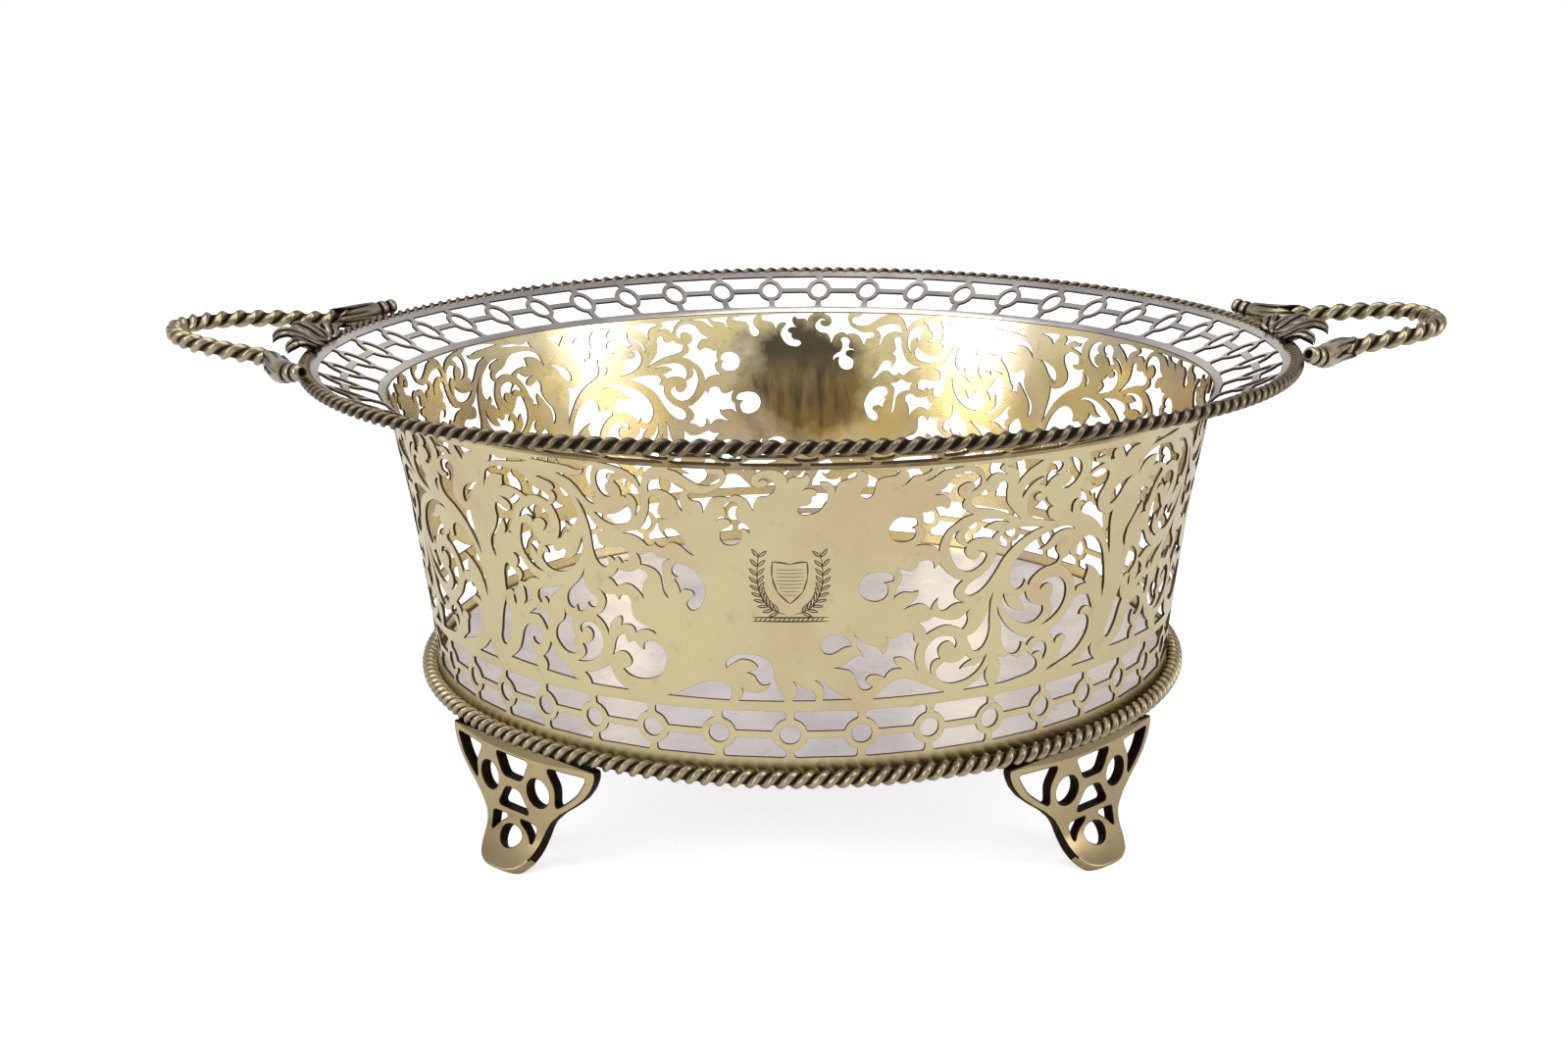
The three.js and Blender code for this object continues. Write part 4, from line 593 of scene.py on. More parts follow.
# Closed curve through the points, smooth except at the sharp corners
def smooth(points, cusps, steps):
    count = len(points)
    following = np.roll(points, -1, axis=0)
    length = np.linalg.norm(following - points, axis=1) + 1e-9
    before = np.roll(length, 1)
    chord = (following - points) / length[:, None]
    behind = np.roll(chord, 1, axis=0)
    lean = unit((behind * length[:, None] + chord * before[:, None]) / (length + before)[:, None])
    outline = []
    for i in range(count):
        j = (i + 1) % count
        start, end = lean[i], lean[j]
        if cusps[i] and cusps[j]:
            start = end = chord[i]
        elif cusps[i]:
            start = 2 * chord[i] * (chord[i] @ end) - end
        elif cusps[j]:
            end = 2 * chord[i] * (chord[i] @ start) - start
        first = points[i] + start * length[i] / 3
        second = points[j] - end * length[i] / 3
        for s in range(steps):
            t = s / steps
            u = 1 - t
            outline.append(u ** 3 * points[i] + 3 * u * u * t * first + 3 * u * t * t * second
                           + t ** 3 * points[j])
    return np.array(outline)


def rounded(points, radius, steps=4):
    points = np.asarray(points, float)
    outline = []
    for i, corner in enumerate(points):
        back = points[i - 1] - corner
        on = points[(i + 1) % len(points)] - corner
        reach = min(radius, 0.45 * np.linalg.norm(back), 0.45 * np.linalg.norm(on))
        start, end = corner + unit(back) * reach, corner + unit(on) * reach
        outline += [curve(start, corner, end, s / steps) for s in range(steps + 1)]
    return np.array(outline)


def circle(x, z, radius, steps=20, radius_z=None):
    turn = np.arange(steps) / steps * 2 * np.pi
    return np.stack([x + radius * np.cos(turn), z + (radius_z or radius) * np.sin(turn)], 1)


def without_doubles(loop, least):
    step = np.linalg.norm(loop - np.roll(loop, 1, axis=0), axis=1)
    return loop[step > least]


def signed_area(loop):
    x, z = loop[:, 0], loop[:, 1]
    return 0.5 * np.sum(x * np.roll(z, -1) - np.roll(x, -1) * z)


def inside(loop, points):
    result = np.zeros(len(points), bool)
    low, high = loop.min(0), loop.max(0)
    near = np.where(np.all((points >= low) & (points <= high), axis=1))[0]
    if not len(near):
        return result
    x, z = points[near, 0][:, None], points[near, 1][:, None]
    ax, az = loop[:, 0], loop[:, 1]
    bx, bz = np.roll(ax, -1), np.roll(az, -1)
    crosses = (az > z) != (bz > z)
    at = (bx - ax) * (z - az) / (bz - az + 1e-30) + ax
    result[near] = np.sum(crosses & (x < at), axis=1) % 2 == 1
    return result


def in_sheet(loops, points):
    *holes, outer = loops
    keep = inside(outer, points)
    for loop in holes:
        keep &= ~inside(loop, points)
    return keep


def sideways(loop):
    along = unit(np.roll(loop, -1, axis=0) - np.roll(loop, 1, axis=0))
    return np.stack([along[:, 1], -along[:, 0]], 1)


def grid_over(low, high, step):
    xs = np.arange(low[0] + step / 2, high[0], step)
    zs = np.arange(low[1] + step / 2, high[1], step)
    return np.array([(x, z) for x in xs for z in zs])


def subdivided(points, step):
    line = [points[0]]
    for start, end in zip(points, points[1:]):
        count = max(1, round(math.dist(start, end) / step))
        line += [(start[0] + (end[0] - start[0]) * i / count, start[1] + (end[1] - start[1]) * i / count)
                 for i in range(1, count + 1)]
    return line


# One cut cell: its points (x, z, depth), how they face (x, z, outward) and its faces with a material number.
# The openings have edges rounded by `soft`. With `free` the outer edge is rounded too, else it is a seam.
def cut_cell(edge, openings, grid, thickness, soft, free=False):
    rounds = [loop if signed_area(loop) > 0 else loop[::-1] for loop in openings]
    edge = edge if signed_area(edge) > 0 else edge[::-1]
    if free:
        rounds.append(edge[::-1])
    fronts = [loop + sideways(loop) * soft for loop in rounds]
    loops = fronts if free else [*fronts, edge]
    solid = np.concatenate(loops)
    grid = grid[in_sheet(loops, grid)]
    if len(grid):
        gap = np.array([np.min(np.hypot(*(solid - point).T)) for point in grid])
        grid = grid[gap > GRID_GAP]
    edges = []
    start = 0
    for loop in loops:
        index = np.arange(len(loop)) + start
        edges += [(int(a), int(b)) for a, b in zip(index, np.roll(index, -1))]
        start += len(loop)
    flat = [Vector(point) for point in np.concatenate([solid, grid])]
    made = delaunay_2d_cdt(flat, edges, [], 0, 1e-6)
    points = np.array([tuple(v) for v in made[0]])
    triangles = np.array([f for f in made[2] if len(f) == 3])
    triangles = triangles[in_sheet(loops, points[triangles].mean(1))]
    a, b, c = (points[triangles[:, i]] for i in range(3))
    area = (b[:, 0] - a[:, 0]) * (c[:, 1] - a[:, 1]) - (c[:, 0] - a[:, 0]) * (b[:, 1] - a[:, 1])
    triangles, area = triangles[np.abs(area) > SLIVER], area[np.abs(area) > SLIVER]
    triangles[area < 0] = triangles[area < 0][:, ::-1]
    count = len(points)
    spots = [np.column_stack([points, np.zeros(count)]), np.column_stack([points, np.full(count, thickness)])]
    facing = [np.tile([0.0, 0.0, 1.0], (count, 1)), np.tile([0.0, 0.0, -1.0], (count, 1))]
    faces = [(tuple(t), 0) for t in triangles.tolist()]
    faces += [((t[2] + count, t[1] + count, t[0] + count), 1) for t in triangles.tolist()]
    total = 2 * count
    for loop in rounds:
        side = sideways(loop)
        rings = []
        for share, back in ((0, 0), (0.5, 0), (1, 0), (1, 1), (0.5, 1), (0, 1)):
            turn = share * QUARTER
            depth = soft * (1 - math.cos(turn))
            shifted_in = loop + side * (soft * (1 - math.sin(turn)))
            level = thickness - depth if back else depth
            spots.append(np.column_stack([shifted_in, np.full(len(loop), level)]))
            outward = math.cos(turn) * (-1 if back else 1)
            facing.append(np.column_stack([-side * math.sin(turn), np.full(len(loop), outward)]))
            rings.append(np.arange(len(loop)) + total)
            total += len(loop)
        for upper, lower in zip(rings, rings[1:]):
            for i in range(len(loop)):
                j = (i + 1) % len(loop)
                faces.append(((int(upper[i]), int(upper[j]), int(lower[j]), int(lower[i])), 2))
    return np.concatenate(spots), np.concatenate(facing), faces


def shifted(faces, start):
    return [(tuple(i + start for i in face), slot) for face, slot in faces]


def flipped(faces):
    return [(face[::-1], slot) for face, slot in faces]


# Makes one of the points that meet; `whole` is the length round the basket, 0 for a piece that isn't a ring
def join(spots, facing, faces, whole):
    around = np.mod(spots[:, 0] + NUDGE, whole) if whole else spots[:, 0]
    key = np.column_stack([np.round(around, 2), np.round(spots[:, 1] + NUDGE, 2), np.round(spots[:, 2], 3),
                           np.round(facing * 20)])
    first, new_index = np.unique(key, axis=0, return_index=True, return_inverse=True)[1:]
    new_index = new_index.reshape(-1)
    kept = []
    for face, slot in faces:
        corners = list(dict.fromkeys(int(new_index[i]) for i in face))
        if len(corners) > 2:
            kept.append((corners, slot))
    return spots[first], facing[first], kept


# Copies of a cell side by side round the basket, joined where their points meet
def repeat(cell, pitch, copies):
    spots, facing, faces = cell
    spots_round = np.concatenate([spots + (k * pitch, 0, 0) for k in range(copies)])
    faces_round = [face for k in range(copies) for face in shifted(faces, k * len(spots))]
    return join(spots_round, np.tile(facing, (copies, 1)), faces_round, pitch * copies)


# One ring with half the openings on each side. Marked out by eye, the rings are not quite evenly spaced.
# `ring` holds its inner and its outer half size, each along and across.
def ring_cell(pitch, centre, ring, low, high, ends, bar, post, seam_step, fillet):
    (hole_x, hole_z), (outer_x, outer_z) = ring
    mid_x, mid_z = (hole_x + outer_x) / 2, (hole_z + outer_z) / 2
    line = [(0, ends[0]), (0, centre - mid_z)]
    line += [(mid_x * math.sin(a), centre - mid_z * math.cos(a)) for a in np.linspace(0, math.pi, 9)[1:-1]]
    line += [(0, centre + mid_z), (0, ends[1])]
    line = subdivided(line, seam_step)
    bottom, top = ([(pitch * i / 4, end) for i in range(5)] for end in ends)
    right = [(x + pitch, z) for x, z in line]
    edge = np.array(bottom[:-1] + right[:-1] + top[:0:-1] + line[:0:-1])
    openings = [circle(pitch, centre, hole_x, 22, hole_z)]
    arc = np.linspace(math.asin(post / 2 / outer_x), math.acos(bar / 2 / outer_z), 7)
    for sign, limit in ((1, high), (-1, low)):
        shape = [(post / 2, limit), (pitch - post / 2, limit)]
        shape += [(pitch - outer_x * math.sin(a), centre + sign * outer_z * math.cos(a)) for a in arc]
        shape += [(outer_x * math.sin(a), centre + sign * outer_z * math.cos(a)) for a in arc[::-1]]
        openings.append(rounded(shape, fillet, 3))
    grid = grid_over((0, ends[0] + 0.4), (pitch + mid_x, ends[1] - 0.4), pitch / 5)
    return cut_cell(edge, openings, grid, SHEET, SOFT_EDGE)


# Points of a sheet's edge at one height and one depth, in order round the basket
def edge_points(spots, level, depth):
    at = np.abs(spots[:, 1] - level) < 0.004
    found = np.where(at & (np.abs(spots[:, 2] - depth) < 1e-4))[0]
    return [int(i) for i in found[np.argsort(spots[found, 0])]]


def close_ends(spots, faces, levels):
    extra = []
    for level in levels:
        front, back = edge_points(spots, level, 0), edge_points(spots, level, SHEET)
        for i in range(len(front)):
            j = (i + 1) % len(front)
            quad = [front[i], front[j], back[j], back[i]]
            extra.append((quad if level > spots[:, 1].mean() else quad[::-1], 2))
    return faces + extra


# A narrow plain strip of triangles between two edges whose points do not meet
def stitch(spots, low, high, whole):
    strip = []
    for depth, slot in ((0, 0), (SHEET, 1)):
        under, over = edge_points(spots, low, depth), edge_points(spots, high, depth)
        i = j = 0
        while i < len(under) or j < len(over):
            next_under = spots[under[(i + 1) % len(under)], 0] + whole * ((i + 1) // len(under))
            next_over = spots[over[(j + 1) % len(over)], 0] + whole * ((j + 1) // len(over))
            first, second = under[i % len(under)], over[j % len(over)]
            if j >= len(over) or (i < len(under) and next_under <= next_over):
                i += 1
                face = [first, under[i % len(under)], second]
            else:
                j += 1
                face = [first, over[j % len(over)], second]
            strip.append((face if slot == 0 else face[::-1], slot))
    return strip


# Value and slope of a smooth curve through the points of a profile
def along_profile(profile, at):
    heights, radii = np.array(profile, float).T
    slopes = np.gradient(radii, heights)
    at = np.clip(at, heights[0], heights[-1])
    index = np.clip(np.searchsorted(heights, at) - 1, 0, len(heights) - 2)
    step = heights[index + 1] - heights[index]
    t = (at - heights[index]) / step
    a, b, c, d = radii[index], radii[index + 1], slopes[index] * step, slopes[index + 1] * step
    value = (2 * t ** 3 - 3 * t * t + 1) * a + (t ** 3 - 2 * t * t + t) * c
    value += (3 * t * t - 2 * t ** 3) * b + (t ** 3 - t * t) * d
    slope = ((6 * t * t - 6 * t) * a + (3 * t * t - 4 * t + 1) * c) / step
    slope += ((6 * t - 6 * t * t) * b + (3 * t * t - 2 * t) * d) / step
    return value, slope


def out_and_round(angle):
    out = np.column_stack([np.cos(angle), np.sin(angle), np.zeros(len(angle))])
    return out, np.column_stack([-np.sin(angle), np.cos(angle), np.zeros(len(angle))])


def upright(angle, slope):
    out, tangent = out_and_round(angle)
    return tangent, unit(out * slope[:, None] + (0, 0, 1)), unit(out - slope[:, None] * np.array((0, 0, 1)))


def turned(axes, facing):
    return sum(axis * facing[:, i:i + 1] for i, axis in enumerate(axes))


def bend_wall(spots, facing):
    angle = -QUARTER + spots[:, 0] / QUARTER_LENGTH * QUARTER
    radius, slope = along_profile(WALL_PROFILE, spots[:, 1])
    radius = radius - spots[:, 2]
    points = np.column_stack([radius * np.cos(angle), radius * np.sin(angle), spots[:, 1]])
    return points, turned(upright(angle, slope), facing)


def build(name, points, faces, materials, normals=None, groove=None):
    mesh = bpy.data.meshes.new(name)
    place = (np.asarray(points) - (0, 0, DATUM)) / 1000
    mesh.from_pydata(place.tolist(), [], [face for face, slot in faces])
    for material in materials:
        mesh.materials.append(material)
    mesh.polygons.foreach_set("material_index", [slot for face, slot in faces])
    mesh.polygons.foreach_set("use_smooth", [True] * len(faces))
    if groove is not None:
        layer = mesh.attributes.new("groove", "FLOAT", "POINT")
        layer.data.foreach_set("value", np.asarray(groove, np.float32))
    if normals is not None:
        mesh.normals_split_custom_set_from_vertices(unit(normals).tolist())
    mesh.update()
    made = add_object(name, mesh)
    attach(made, "root")
    return made


def scroll_cell():
    seam = subdivided(SEAM, 2.5)
    left = [(x - QUARTER_LENGTH, z) for x, z in seam]
    bottom = [(-QUARTER_LENGTH / 2 + i * QUARTER_LENGTH / 40, BELT) for i in range(41)]
    top = subdivided([seam[-1], left[-1]], 3.6)
    edge = np.array(bottom[:-1] + seam[:-1] + top[:-1] + left[:0:-1])
    openings = []
    for text in SCROLL_OPENINGS.split("\n\n"):
        outline = smooth(*read(text), OUTLINE_STEPS)
        outline[:, 1] = np.clip(outline[:, 1], BELT + 0.6, WALL_TOP - 0.25)
        openings.append(without_doubles(outline, 0.04))
    grid = grid_over((-76, BELT + 0.8), (76, WALL_TOP - 0.8), 2.9)
    return cut_cell(edge, openings, grid, SHEET, SOFT_EDGE)


lower_pitch = ROUND_LENGTH / LOWER_CELLS
lower_cell = ring_cell(lower_pitch, LOWER_MIDDLE, ((2.05, 2.05), (3.45, 3.45)), 34.6, 44.7,
                       (WALL_FOOT, BAND_TOP), 1.5, 1.6, 1.2, 0.9)
rings = repeat(lower_cell, lower_pitch, LOWER_CELLS)
rings[0][:, 0] += math.radians(LOWER_FIRST_RING) / QUARTER * QUARTER_LENGTH
rings[0][:, 0] += RING_DRIFT * np.sin(2 * math.pi * (rings[0][:, 0] + DRIFT_START) / QUARTER_LENGTH)
scrolls = repeat(scroll_cell(), QUARTER_LENGTH, 4)
spots, facing = (np.concatenate([rings[i], scrolls[i]]) for i in (0, 1))
faces = shifted(rings[2], 0) + shifted(scrolls[2], len(rings[0]))
spots, facing, faces = join(spots, facing, faces, ROUND_LENGTH)
spots[:, 0] = np.mod(spots[:, 0] + NUDGE, ROUND_LENGTH) - NUDGE
faces = close_ends(spots, faces, (WALL_FOOT, WALL_TOP)) + stitch(spots, BAND_TOP, BELT, ROUND_LENGTH)
points, normals = bend_wall(spots, facing)
wall = build("pierced_wall", points, faces, [outside_silver, inside_silver_painted_reflection, cut_edge_shade_silver], normals)
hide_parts("wall")


# Gallery: a separate pierced ring of rings and posts, sloping outwards from a small ledge on the wall
# to the rim rope, with a plain outer strip. The rim hangs down a little on both sides towards the
# handles, leans towards the front and is knocked down a little at front left.
GALLERY_CELLS, GALLERY_FIRST_RING, GALLERY_MIDDLE = 47, 0.7, 104.8
GALLERY_INNER, GALLERY_OUTER = 95.8, 112.3
GALLERY_PROFILE = [(95.8, 96.1), (96.6, 96.85), (97.6, 97.45), (99, 98.15), (101, 99.0), (104.8, 100.75),
                   (108, 102.5), (110.3, 103.8), (112.4, 105.0)]
RIM_DIP, RIM_LEAN, RIM_KNOCK = 1.5, 0.6, 0.9
DIP_FROM, DIP_TO = 95.4, 113.55
KNOCK_ANGLE, KNOCK_WIDTH = -130, 22


def dip(x, y):
    radius = np.hypot(x, y)
    share = np.clip((radius - DIP_FROM) / (DIP_TO - DIP_FROM), 0, 1.2)
    knock = np.exp(-((np.degrees(np.arctan2(y, x)) - KNOCK_ANGLE) / KNOCK_WIDTH) ** 2)
    return share * (RIM_DIP * (x / radius) ** 2 - RIM_LEAN * y / radius + RIM_KNOCK * knock)


def bend_gallery(spots, facing):
    angle = -QUARTER + math.radians(GALLERY_FIRST_RING) + spots[:, 0] / GALLERY_MIDDLE
    height, slope = along_profile(GALLERY_PROFILE, spots[:, 1])
    out, tangent = out_and_round(angle)
    rise = unit(out + slope[:, None] * np.array((0, 0, 1)))
    normal = unit(-out * slope[:, None] + (0, 0, 1))
    points = out * spots[:, 1:2]
    points[:, 2] = height
    points = points - normal * spots[:, 2:]
    points[:, 2] -= dip(points[:, 0], points[:, 1])
    return points, turned((tangent, rise, normal), facing)


pitch = 2 * math.pi * GALLERY_MIDDLE / GALLERY_CELLS
whole = pitch * GALLERY_CELLS
upper_cell = ring_cell(pitch, GALLERY_MIDDLE, ((2.25, 3.1), (3.5, 4.35)), 97.4, 110.2,
                       (GALLERY_INNER, GALLERY_OUTER), 1.7, 1.7, 1.3, 1.0)
spots, facing, faces = repeat(upper_cell, pitch, GALLERY_CELLS)
spots[:, 0] = np.mod(spots[:, 0] + NUDGE, whole) - NUDGE
faces = flipped(close_ends(spots, faces, (GALLERY_INNER, GALLERY_OUTER)))
points, normals = bend_gallery(spots, facing)
gallery = build("pierced_gallery", points, faces, [gallery_silver_painted_reflection, outside_silver, cut_edge_shade_silver], normals)
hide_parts("gallery")


# Ropes: two round wires twisted together, soldered round the rim and round the base, and bent into
# the two handles. The crevices between the strands are painted dark as shade.
STRAND_WAIST = 0.62
STEPS_PER_LOBE = 9
RIM_ROPE_RADIUS, RIM_ROPE_HEIGHT, RIM_ROPE_THICKNESS, RIM_ROPE_LOBES = 113.3, 104.4, 3.2, 216
BASE_ROPE_RADIUS, BASE_ROPE_HEIGHT, BASE_ROPE_THICKNESS, BASE_ROPE_LOBES = 89.3, 30.75, 3.9, 182


def lengths_along(line):
    return np.concatenate([[0], np.cumsum(np.linalg.norm(np.diff(line, axis=0), axis=1))])


# Directions of a line: along it, level across it and up from it
def directions(along):
    along = unit(along)
    level = unit(np.cross((0.0, 0.0, 1.0), along))
    return level, np.cross(along, level)


def twisted(centres, closed, radius, lobes, sides=20):
    count = len(centres)
    if closed:
        level, up = directions(np.roll(centres, -1, axis=0) - np.roll(centres, 1, axis=0))
        distance = lengths_along(np.vstack([centres, centres[:1]]))
    else:
        level, up = directions(np.gradient(centres, axis=0))
        distance = lengths_along(centres)
    turn = -math.pi * lobes * (distance[:count] / distance[-1])
    section = np.arange(sides) / sides * 2 * np.pi
    swell = radius * np.maximum(np.abs(np.cos(section)) ** 0.8, STRAND_WAIST)
    phi = section[None, :] + turn[:, None]
    offsets = level[:, None, :] * np.cos(phi)[..., None] + up[:, None, :] * np.sin(phi)[..., None]
    points = centres[:, None, :] + offsets * swell[None, :, None]
    # How deep in a crevice each point lies, used for painted crevice shade.
    groove = np.tile(1 - np.abs(np.cos(section)), count)
    faces = []
    for i in range(count if closed else count - 1):
        j = (i + 1) % count
        shift = (lobes * sides // 2) % sides if j == 0 else 0
        for k in range(sides):
            m = (k + 1) % sides
            faces.append(([i * sides + k, i * sides + m, j * sides + (m + shift) % sides,
                           j * sides + (k + shift) % sides], 0))
    if not closed:
        faces.append((list(range(sides))[::-1], 0))
        faces.append((list(range((count - 1) * sides, count * sides)), 0))
    return points.reshape(-1, 3), faces, groove


def ring_path(radius, height, count, start=-QUARTER):
    turn = start + np.arange(count) / count * 2 * np.pi
    return np.column_stack([radius * np.cos(turn), radius * np.sin(turn), np.full(count, height)])


path = ring_path(RIM_ROPE_RADIUS, RIM_ROPE_HEIGHT, RIM_ROPE_LOBES * STEPS_PER_LOBE)
path[:, 2] -= dip(path[:, 0], path[:, 1])
points, faces, groove = twisted(path, True, RIM_ROPE_THICKNESS / 2, RIM_ROPE_LOBES)
rim_rope = build("rim_rope_twist", points, faces, [rim_rope_shade_silver], None, groove)
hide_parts("rim_rope")

path = ring_path(BASE_ROPE_RADIUS, BASE_ROPE_HEIGHT, BASE_ROPE_LOBES * STEPS_PER_LOBE)
points, faces, groove = twisted(path, True, BASE_ROPE_THICKNESS / 2, BASE_ROPE_LOBES)
base_rope = build("base_rope_twist", points, faces, [rope_silver], None, groove)
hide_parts("base_rope")


# Handles: each a loop of thicker two-strand rope, nearly level, narrowing to a rounded tip.
# The two loops differ a little, as bent by hand. Each arm is a smooth curve through a few placed points.
HANDLE_START = 118.6
HANDLE_TIP = {"left": 146.0, "right": 147.8}
HANDLE_HEIGHTS = {"left": (104.8, 108.4), "right": (104.3, 108.2)}
HANDLE_SPREAD = {"left": 46, "right": 37}
HANDLE_ARM = {
    "left": [(0, 1), (0.16, 0.69), (0.29, 0.575), (0.42, 0.53), (0.56, 0.485), (0.68, 0.43), (0.78, 0.37),
             (0.87, 0.285), (0.94, 0.19), (0.98, 0.1)],
    "right": [(0, 1), (0.15, 0.71), (0.32, 0.61), (0.48, 0.56), (0.64, 0.51), (0.75, 0.46), (0.84, 0.39),
              (0.915, 0.315), (0.965, 0.22), (0.992, 0.115)],
}
HANDLE_ROPE_THICKNESS, HANDLE_LOBE = 4.4, 4.6
STEPS_PER_HANDLE_LOBE, HIDDEN_STEPS = 10, 15
MIRROR = {"left": np.array((-1, -1, 1)), "right": np.array((1, 1, 1))}


def part_way(first, second, start, end, t):
    return (end - t) / (end - start) * first + (t - start) / (end - start) * second


# Middle line of a handle as a smooth curve that keeps near its points
def handle_line(side_name):
    width, reach = HANDLE_SPREAD[side_name], HANDLE_TIP[side_name]
    rim_height, tip_height = HANDLE_HEIGHTS[side_name]
    start = math.sqrt(HANDLE_START ** 2 - width ** 2)
    arm = [(start + s * (reach - start), w * width, rim_height + s * (tip_height - rim_height))
           for s, w in HANDLE_ARM[side_name]]
    key = np.array([(x, -y, z) for x, y, z in arm] + [(reach, 0, tip_height)] + arm[::-1], float)
    key = np.vstack([2 * key[0] - key[1], key, 2 * key[-1] - key[-2]])
    dense = []
    for i in range(1, len(key) - 2):
        p = key[i - 1:i + 3]
        k = np.concatenate([[0], np.cumsum(np.sqrt(np.linalg.norm(np.diff(p, axis=0), axis=1)))])
        for t in np.linspace(k[1], k[2], 40, endpoint=False):
            a1, a2, a3 = (part_way(p[n], p[n + 1], k[n], k[n + 1], t) for n in range(3))
            b1, b2 = part_way(a1, a2, k[0], k[2], t), part_way(a2, a3, k[1], k[3], t)
            dense.append(part_way(b1, b2, k[1], k[2], t))
    return np.array([*dense, key[-2]])


def resampled(line, count):
    distance = lengths_along(line)
    at = np.linspace(0, distance[-1], count)
    return np.column_stack([np.interp(at, distance, line[:, i]) for i in range(3)])


for side_name in HANDLE_SPREAD:
    line = handle_line(side_name)
    lobes = round(lengths_along(line)[-1] / HANDLE_LOBE)
    path = resampled(line, lobes * STEPS_PER_HANDLE_LOBE + 1)[HIDDEN_STEPS:-HIDDEN_STEPS] * MIRROR[side_name]
    hidden_lobes = 2 * HIDDEN_STEPS // STEPS_PER_HANDLE_LOBE
    points, faces, groove = twisted(path, False, HANDLE_ROPE_THICKNESS / 2, lobes - hidden_lobes, 22)
    loop = build("handle_rope_" + side_name, points, faces, [rope_silver], None, groove)
    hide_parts("handle_loop_" + side_name)


# Leaf caps: a cast acanthus sleeve over each rope end, with a ringed collar on the rope and an open,
# lobed end on the rim. Each row of CAP is a share of the length, a radius and how much painted shade it has
# there.
CAP_RIM_END = {"left": (104.9, -47.6, 106.1), "right": (109.9, -36.4, 106.2)}
CAP = [(0.05, 0.65, 1), (0.0, 0.7, 1), (0.0, 1.3, 0.3), (0.02, 1.7, 0), (0.05, 1.9, 0), (0.08, 1.85, 0.4),
       (0.1, 1.6, 1), (0.12, 1.65, 1), (0.14, 2.0, 0.2), (0.17, 2.15, 0), (0.2, 2.1, 0.3), (0.22, 1.9, 1),
       (0.25, 2.0, 0.8), (0.29, 2.4, 0), (0.37, 2.6, 0), (0.48, 2.7, 0), (0.6, 2.7, 0), (0.72, 2.65, 0),
       (0.82, 2.6, 0), (0.9, 2.55, 0.1), (0.96, 2.5, 0.2), (1.0, 2.35, 0.6), (0.98, 2.0, 1)]
CAP_SIDES = 48
CAP_OVERLAP = (8.5, 18.5)


# Faces of a surface made of rows of points; with `wrap` each row is a closed ring
def grid_faces(rows, columns, wrap):
    faces = []
    for i in range(rows - 1):
        for k in range(columns if wrap else columns - 1):
            m = (k + 1) % columns
            corners = [i * columns + k, i * columns + m, (i + 1) * columns + m, (i + 1) * columns + k]
            faces.append((corners, 0))
    return faces


def closed_tube(rows, sides):
    last = (rows - 1) * sides
    ends = [(list(range(sides))[::-1], 0), (list(range(last, last + sides)), 0)]
    return grid_faces(rows, sides, True) + ends


# Middle line of a cap: from its end on the rim up to the rope and a little way along it
def cap_line(side_name):
    handle = handle_line(side_name)
    from_rope, to_rope = (round(at / lengths_along(handle)[-1] * 400) for at in CAP_OVERLAP)
    joined = resampled(handle, 400)[from_rope:to_rope]
    start, meet = np.array(CAP_RIM_END[side_name]), joined[0]
    bow = meet - unit(joined[3] - joined[0]) * np.linalg.norm(meet - start) * 0.45
    return resampled(np.vstack([curve(start, bow, meet, np.linspace(0, 1, 60)[:-1, None]), joined]), 200)


def leaf_cap(name, node, side_name, near):
    line = cap_line(side_name)
    level, up = directions(np.gradient(line, axis=0))
    turn = np.arange(CAP_SIDES) / CAP_SIDES * 2 * np.pi
    lobed = np.abs(np.cos(1.5 * turn)) ** 0.7
    rows, grooves = [], []
    for share, radius, crease_shade in CAP:
        leafy = min(1, max(0, (share - 0.3) * 3))
        reach = share * (1 - leafy * 0.34 * (1 - lobed))
        place = np.round(reach * (len(line) - 1)).astype(int)
        flute = 1 + leafy * (0.05 * np.cos(9 * turn) + 0.06 * (lobed - 0.5))
        around = np.cos(turn)[:, None] * level[place] + np.sin(turn)[:, None] * up[place]
        rows.append(line[place] + (radius * flute)[:, None] * around)
        # Painted shade: dark in the collar's necks, in the flutes and between the lobes.
        grooves.append(crease_shade + leafy * (0.3 - 0.4 * np.cos(9 * turn) + 0.35 * (1 - lobed)))
    faces = closed_tube(len(rows), CAP_SIDES)
    if near[0] * near[1] < 0:
        faces = flipped(faces)
    cap = build(name, np.concatenate(rows) * near, faces, [cast_silver], None, np.concatenate(grooves))
    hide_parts(node)


for side_name, sign in (("left", -1), ("right", 1)):
    for end_name, flip in (("near", 1), ("far", -1)):
        leaf_cap("cap_" + side_name + "_" + end_name, "leaf_" + side_name + "_" + end_name, side_name,
                 np.array((sign, flip, 1)))


# Sprays: a cast cluster of four acanthus leaves on the rim between the two arms of each handle.
# Each leaf of SPRAY has its root, heading, length, half width, lift and curl of the tip.
SPRAY = [((112.6, -2.5, 104.6), -0.25, 11.5, 4.6, 4.2, 2.0), ((112.6, 4.0, 104.6), 0.4, 11.0, 4.2, 3.8, 1.8),
         ((112.6, -7.5, 104.4), -0.95, 8.5, 3.2, 3.0, 1.6), ((112.6, 9.0, 104.4), 1.1, 8.0, 3.0, 2.8, 1.4)]
LEAF_ROWS, LEAF_COLUMNS, LEAF_LOBES = 26, 15, 3


